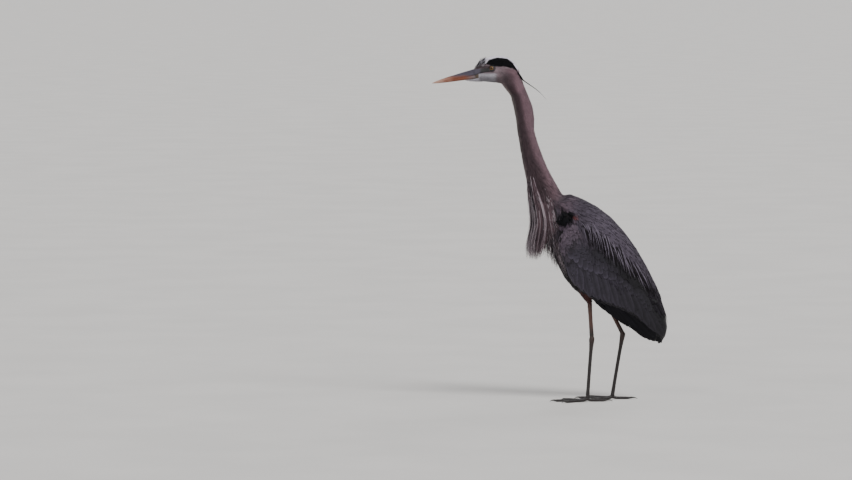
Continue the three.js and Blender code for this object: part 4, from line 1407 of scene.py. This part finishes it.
class HERON_OT_breast_plumes(bpy.types.Operator):
    """Long plumes that hang from the base of the neck"""

    bl_idname = "heron.breast_plumes"
    bl_label = "Breast plumes"

    # Front and rear edge and half width of the hanging plumes, by height.
    front = staticmethod(curve((430, -68), (462, -73), (490, -70), (539, -61), (578, -63.5), (634, -70),
                               (663, -75), (690, -80), (712, -83), (790, -94)))
    rear = staticmethod(curve((430, -4), (462, 6), (500, 14), (540, 18), (590, 8), (640, -18),
                              (690, -40), (712, -48), (790, -64)))
    half = staticmethod(curve((430, 20), (470, 28), (500, 33), (560, 43), (600, 44), (640, 41),
                              (690, 34), (712, 30), (790, 24)))

    def execute(self, context):
        coat = Coat(np.random.default_rng(51))
        self.hanging(coat, context.scene.heron_sizes.plume_count)
        for side in SIDES.values():
            self.beside(coat, side)
        look = feather_material("breast_plume", 0.75, 0.1)
        coat.finish("plumes_of_breast", "plume", look, "breast_plumes")
        return {"FINISHED"}

    def hanging(self, coat, count):
        """Plumes all round the base of the neck, in pale locks with mauve and dark ones between."""
        c, rng = tones(), coat.rng
        turn = rng.uniform(-2.0, 2.0, count)
        deep = 1 - 0.5 * rng.random(count) ** 1.6
        top = 548 + 150 * rng.random(count) ** 0.8
        share = np.clip(0.5 - 0.5 * np.cos(turn), 0, 1)
        low = np.interp(share, [0, 0.25, 0.5, 0.75, 1], [435, 428, 430, 442, 452])
        low = low + rng.gamma(1.0, 52, count)
        low = np.clip(low, top - 260 - 40 * rng.random(count), top - 60)
        t = np.array(RIBBON.along)
        z = top[:, None] + (low - top)[:, None] * t[None]
        front, rear, deep = self.front(z), self.rear(z), deep[:, None]
        x = (front + rear) / 2 - (rear - front) / 2 * np.cos(turn)[:, None] * deep
        y = self.half(z) * np.sin(turn)[:, None] * deep * (1 - 0.1 * t[None] ** 2)
        sway = rng.normal(0, 4.2, (count, 2, 1)) * t**1.5
        line = self.rooted(np.stack([x + sway[:, 0], y + sway[:, 1], z], -1) * MM, z, t)
        outward = np.stack([-np.cos(turn), np.sin(turn), 0 * turn], 1)[:, None] + 0 * line
        mood = rng.random(count)
        lock = (turn / 0.19 + rng.normal(0, 0.13, count)) % 1
        pale = (lock < np.where(np.abs(turn) < 1.15, 0.52, 0.26)) & (mood < 0.92)
        mauve = (lock < 0.62) | (mood < 0.2) | (top > 690)
        tint = np.where(mauve[:, None], c.neck * 0.7, c.plume_dark * 0.6)
        tint = np.where(pale[:, None], c.plume_pale * 1.1, tint)
        wide = np.where(pale, 0.6 + 0.4 * rng.random(count), 0.7 + 0.6 * rng.random(count))
        coat.add(hang(line, outward), RIBBON, wide, tint, 0.1, tip=1.5, home=unwrap(line[:, 0]))

    def rooted(self, line, z, t):
        """The plumes' lines with their roots drawn into the neck's own plumage."""
        near, facing = (found.reshape(line.shape) for found in form().nearest(line.reshape(-1, 3)))
        held = fade(t, 0.0, 0.3)[None, :, None]
        outer = ((line - near) * facing).sum(-1, keepdims=True) > -0.001
        line = np.where(outer, line + (near - facing * 0.003 - line) * held, line)
        close = line + (near + facing * 0.0006 - line) * ease(z, 640, 700)[..., None] * (1 - held)
        return np.where((z > 640)[..., None] & outer, close, line)

    def beside(self, coat, side):
        """Plumes that lie back over the shoulder, and a few along the edge of the breast."""
        c, rng = tones(), coat.rng
        for number, start, end, spread, share_pale in BREAST_ROWS:
            share = rng.random(number)
            roots = on_line(start, share) + rng.normal(0, spread, (number, 2))
            tips = on_line(end, share) + rng.normal(0, spread, (number, 2))
            rise, bow = 0.9 + rng.random(number), rng.normal(0, 2, number)
            course = lay(side, roots, tips, LANCE, 3.0, rise, bow)
            mood = rng.random(number)
            mauve = (mood < share_pale + 0.16) | (roots[:, 1] > 630)
            tint = np.where(mauve[:, None], c.neck * 0.58, c.plume_dark * 0.3)
            tint = np.where((mood < share_pale)[:, None], c.plume_pale * 0.85, tint)
            coat.add(course, LANCE, np.where(mood < share_pale, 0.8, 1.6), tint, 0.12)


class HERON_OT_crest(bpy.types.Operator):
    """Black plumes that trail from the back of the crown"""

    bl_idname = "heron.crest"
    bl_label = "Crest plumes"

    def execute(self, context):
        rng, along = np.random.default_rng(61), np.array(RIBBON.along)
        for name, side in SIDES.items():
            coat, whole = Coat(rng), through([(x, side * y, z) for x, y, z in CREST], 60)
            spread, lines = np.linspace(0, 1, len(along))[:, None] ** 1.3, []
            for n, share in enumerate((1.0, 0.78, 0.6, 0.48, 0.36, 0.28)):
                off = spread * (1.6 * n, side * 1.2 * n, -1.8 * n) + (0, 0, 0.9 * n - 2.4)
                lines.append(on_line(whole, along * share) + off)
            line = np.array(lines) * MM
            outward = np.broadcast_to(np.array([0.45, side * 0.75, 0.45]), line.shape)
            half = np.array([2.1, 2.3, 2.5, 2.6, 2.7, 2.7])
            coat.add(hang(line, outward), CREST_PLUME, half, tones().cap, 0.1, 0.8, camber=0.2)
            look = feather_material("crest_feather", 0.6, 0.0, gloss=0.12)
            coat.finish(f"crest_{name}", "black_feather", look, f"crest_plume_{name}")
        return {"FINISHED"}


class HERON_OT_bill(bpy.types.Operator):
    """Upper and lower bill"""

    bl_idname = "heron.bill"
    bl_label = "Bill"

    # Height of the upper and lower halves and half the bill's width, by distance from its tip.
    culmen = staticmethod(curve((0, 0.7), (16, 4.6), (48, 10), (69, 12.4), (92, 15.2), (115, 17.8),
                                (138, 20), (152, 18.5), (168, 13)))
    gonys = staticmethod(curve((0, 0.7), (16, 3.2), (50, 6), (71, 7), (94, 8.2), (120, 9.6),
                               (140, 9.6), (168, 5)))
    half = staticmethod(curve((0, 0.9), (30, 3.2), (70, 5.6), (110, 8.4), (138, 10.4), (150, 9.6),
                              (168, 6)))

    def execute(self, context):
        for name, lower in (("upper", False), ("lower", True)):
            bm = bmesh.new()
            bmesh.ops.create_uvsphere(bm, u_segments=44, v_segments=72, radius=1)
            for v in bm.verts:
                v.co = self.place(v.co, lower)
            material = bill_material(f"bill_{name}_horn", lower)
            finished(mesh_piece(f"bill_horn_{name}", bm), "bill_horn", material, f"bill_{name}")
        return {"FINISHED"}

    def place(self, ball, lower):
        """Where a point of a ball goes: flat at the mouth, rounded outside, with groove and nostril."""
        polar = math.acos(max(-1.0, min(1.0, ball.z)))
        along = BILL_LENGTH * (1 - math.cos(polar)) / 2
        close = min(1.0, math.sin(polar) / 0.16)
        angle = math.atan2(ball.y, ball.x)
        across = float(self.half(along)) * close
        if angle < 0:
            across *= math.cos(angle)
        else:
            across *= math.copysign(abs(math.cos(angle)) ** 0.85, math.cos(angle))
        tall = float((self.gonys if lower else self.culmen)(along)) * close
        rise = 0.02 + max(0.0, math.sin(angle)) ** 0.9 * tall
        if lower:
            rise = -rise
        else:
            groove = hump(rise - 9.6, 1.5) * float(ease(along, 70, 118)) * 1.3
            nostril = 1.6 * hump(along - 122, 5) * hump(rise - 9.6, 1.0)
            across -= math.copysign(min(abs(across), groove + nostril), across)
        ahead, up = math.cos(BILL_DIP), math.sin(BILL_DIP)
        x, z = along * ahead - rise * up, along * up + rise * ahead
        return Vector((BILL_TIP[0] + x, across, BILL_TIP[1] + z)) * MM


class HERON_OT_eyes(bpy.types.Operator):
    """Eyeballs and eyelids"""

    bl_idname = "heron.eyes"
    bl_label = "Eyes and lids"

    def execute(self, context):
        glass, lid_skin = eye_material(), plain_horn("lid_skin", tones().lores, 0.6)
        for name, side in SIDES.items():
            gaze = Vector((GAZE.x, side * GAZE.y, GAZE.z))
            turn = gaze.to_track_quat("Z", "Y").to_matrix().to_4x4()
            turn = Matrix.Translation(Vector((EYE[0], side * EYE[1], EYE[2])) * MM) @ turn
            bm = bmesh.new()
            bmesh.ops.create_uvsphere(bm, u_segments=48, v_segments=32, radius=EYE_RADIUS * MM)
            bmesh.ops.transform(bm, matrix=turn, verts=bm.verts)
            finished(mesh_piece(f"eyeball_{name}", bm), "eye", glass, f"eye_{name}")

            # The lids are a soft rim round the opening.
            bm = bmesh.new()
            ring = bmesh.ops.create_circle(bm, segments=10, radius=1.0 * MM)["verts"]
            place = Matrix.Translation((6.1 * MM, 0, 5.15 * MM)) @ Matrix.Rotation(math.pi / 2, 4, "X")
            bmesh.ops.transform(bm, matrix=place, verts=ring)
            bmesh.ops.spin(bm, geom=bm.verts[:] + bm.edges[:], cent=(0, 0, 0), axis=(0, 0, 1),
                           angle=2 * math.pi, steps=48, use_merge=True)
            bmesh.ops.transform(bm, matrix=turn, verts=bm.verts)
            finished(mesh_piece(f"eyelid_{name}", bm), "eye", lid_skin)
        return {"FINISHED"}


class HERON_OT_claws(bpy.types.Operator):
    """Claws, and the plates on shins and toes"""

    bl_idname = "heron.claws"
    bl_label = "Claws and scutes"

    def execute(self, context):
        horn = plain_horn("claw_horn", tones().horn, 0.3)
        plates = plain_horn("scute_horn", tones().tarsus, 0.45)
        hook = np.array([(0, 3.6), (0.25, 4.4), (0.5, 5.2), (0.78, 4.2), (1, 1.4)])
        taper = curve((0, 3.4), (0.25, 3.0), (0.6, 1.9), (1, 0.6))
        for name, side in SIDES.items():
            leg, scutes = LEGS[name], bmesh.new()
            for key, toe in TOES.items():
                bm = bmesh.new()
                reaches = toe.length - 5 + hook[:, 0] * (toe.claw + 7.4)
                points = [on_toe(leg, side, key, reach, z) for reach, z in zip(reaches, hook[:, 1])]
                swept(bm, np.array(points) * MM, taper, 0.8, 14, 16)
                finished(mesh_piece(f"claw_horn_{name}_{key}", bm), "claw_horn", horn, f"claw_{name}_{key}")
                # Plates along the top of the toe, smaller towards its claw.
                reach = 9.0
                while reach < toe.length - 3:
                    share = reach / toe.length
                    middle = np.array(on_toe(leg, side, key, reach, 3.6))
                    ahead = np.array(on_toe(leg, side, key, reach + 1, 3.6)) - middle
                    along = 2.9 - 0.9 * share
                    self.plate(scutes, middle, ahead, (0, 0, 1), 4.5 - 0.9 * share, along, 0.95)
                    reach += 1.75 * along
            # Plates down the front of the shin.
            ankle, foot = np.array(leg["ankle"], float), np.array(leg["foot"], float)
            for share in np.linspace(0.1, 0.93, 24):
                size = float(np.interp(share, [0.1, 0.2, 0.85, 0.95], [6.4, 5.1, 5.1, 5.6]))
                self.plate(scutes, mix(ankle, foot, share), foot - ankle, (-1, 0, 0), size, 4.4, 0.85)
            finished(mesh_piece(f"scutes_{name}", scutes), "foot_skin", plates)
        return {"FINISHED"}

    def plate(self, bm, middle, ahead, front, radius, along, wrap):
        """A lens-shaped plate bent round a limb's axis."""
        ahead = unit(ahead)
        front = unit(np.array(front, float) - ahead * np.dot(front, ahead))
        side = np.cross(ahead, front)
        for v in bmesh.ops.create_icosphere(bm, subdivisions=2, radius=1)["verts"]:
            angle, far = v.co.x * wrap, radius + 0.1 + 0.55 * v.co.z + 0.25 * v.co.y
            out = front * math.cos(angle) + side * math.sin(angle)
            v.co = Vector(middle + ahead * v.co.y * along + out * far) * MM


class HERON_OT_stage(bpy.types.Operator):
    """Floor, light and camera"""

    bl_idname = "heron.stage"
    bl_label = "Stage"

    def execute(self, context):
        settings, scene = context.scene.heron_stage, context.scene
        bm = bmesh.new()
        bmesh.ops.create_circle(bm, cap_ends=True, segments=96, radius=settings.floor_radius)
        floor = mesh_piece("floor", bm)
        floor.data.materials.append(floor_material())
        for name, power, angle, aim in (
            ("key", settings.key, 24, (-0.55, 0.62, -0.85)), ("fill", settings.fill, 60, (0.75, 0.8, -0.5)),
            ("rim", 0.9, 30, (-0.5, -0.9, -0.55)),
        ):
            lamp = linked(name, bpy.data.lights.new(name, "SUN"))
            lamp.data.energy, lamp.data.angle = power, math.radians(angle)
            lamp.rotation_mode = "QUATERNION"
            lamp.rotation_quaternion = Vector(aim).to_track_quat("-Z", "Y")
        scene.world = bpy.data.worlds.new("studio")
        scene.world.use_nodes = True
        sky = scene.world.node_tree.nodes["Background"].inputs
        sky[0].default_value, sky[1].default_value = (0.86, 0.87, 0.9, 1), settings.sky
        scene.camera = linked("camera", bpy.data.cameras.new("camera"))
        scene.camera.data.lens, scene.camera.data.sensor_width = settings.lens, 36
        scene.camera.data.clip_end = 1000
        away, height, aim = 13.56, 1.38, 0.492
        scene.camera.location = (-0.3794, -away, height)
        scene.camera.rotation_euler = (math.pi / 2 - math.atan2(height - aim, away), 0, 0)
        return {"FINISHED"}


class HERON_PT_panel(bpy.types.Panel):
    """The heron's pieces, in the order they are made"""

    bl_label = "Great blue heron"
    bl_space_type = "VIEW_3D"
    bl_region_type = "UI"
    bl_category = "Heron"

    def draw(self, context):
        for operator in OPERATORS:
            self.layout.operator(operator.bl_idname)
        for group in (context.scene.heron_colours, context.scene.heron_sizes, context.scene.heron_stage):
            box = self.layout.box()
            for key in group.__annotations__:
                box.prop(group, key)


OPERATORS = (
    HERON_OT_stage, HERON_OT_skin, HERON_OT_head_feathers, HERON_OT_neck_feathers, HERON_OT_back_feathers,
    HERON_OT_wing_feathers, HERON_OT_flight_feathers, HERON_OT_belly_feathers, HERON_OT_breast_plumes,
    HERON_OT_crest, HERON_OT_bill, HERON_OT_eyes, HERON_OT_claws,
)
GROUPS = {"heron_colours": HeronColours, "heron_sizes": HeronSizes, "heron_stage": HeronStage}
CLASSES = (*GROUPS.values(), *OPERATORS, HERON_PT_panel)


def register():
    for one in CLASSES:
        bpy.utils.register_class(one)
    for key, group in GROUPS.items():
        setattr(bpy.types.Scene, key, bpy.props.PointerProperty(type=group))


def unregister():
    for key in GROUPS:
        delattr(bpy.types.Scene, key)
    for one in reversed(CLASSES):
        bpy.utils.unregister_class(one)


def main():
    register()
    for operator in OPERATORS:
        getattr(bpy.ops.heron, operator.bl_idname.split(".")[1])()


if __name__ == "__main__":
    main()
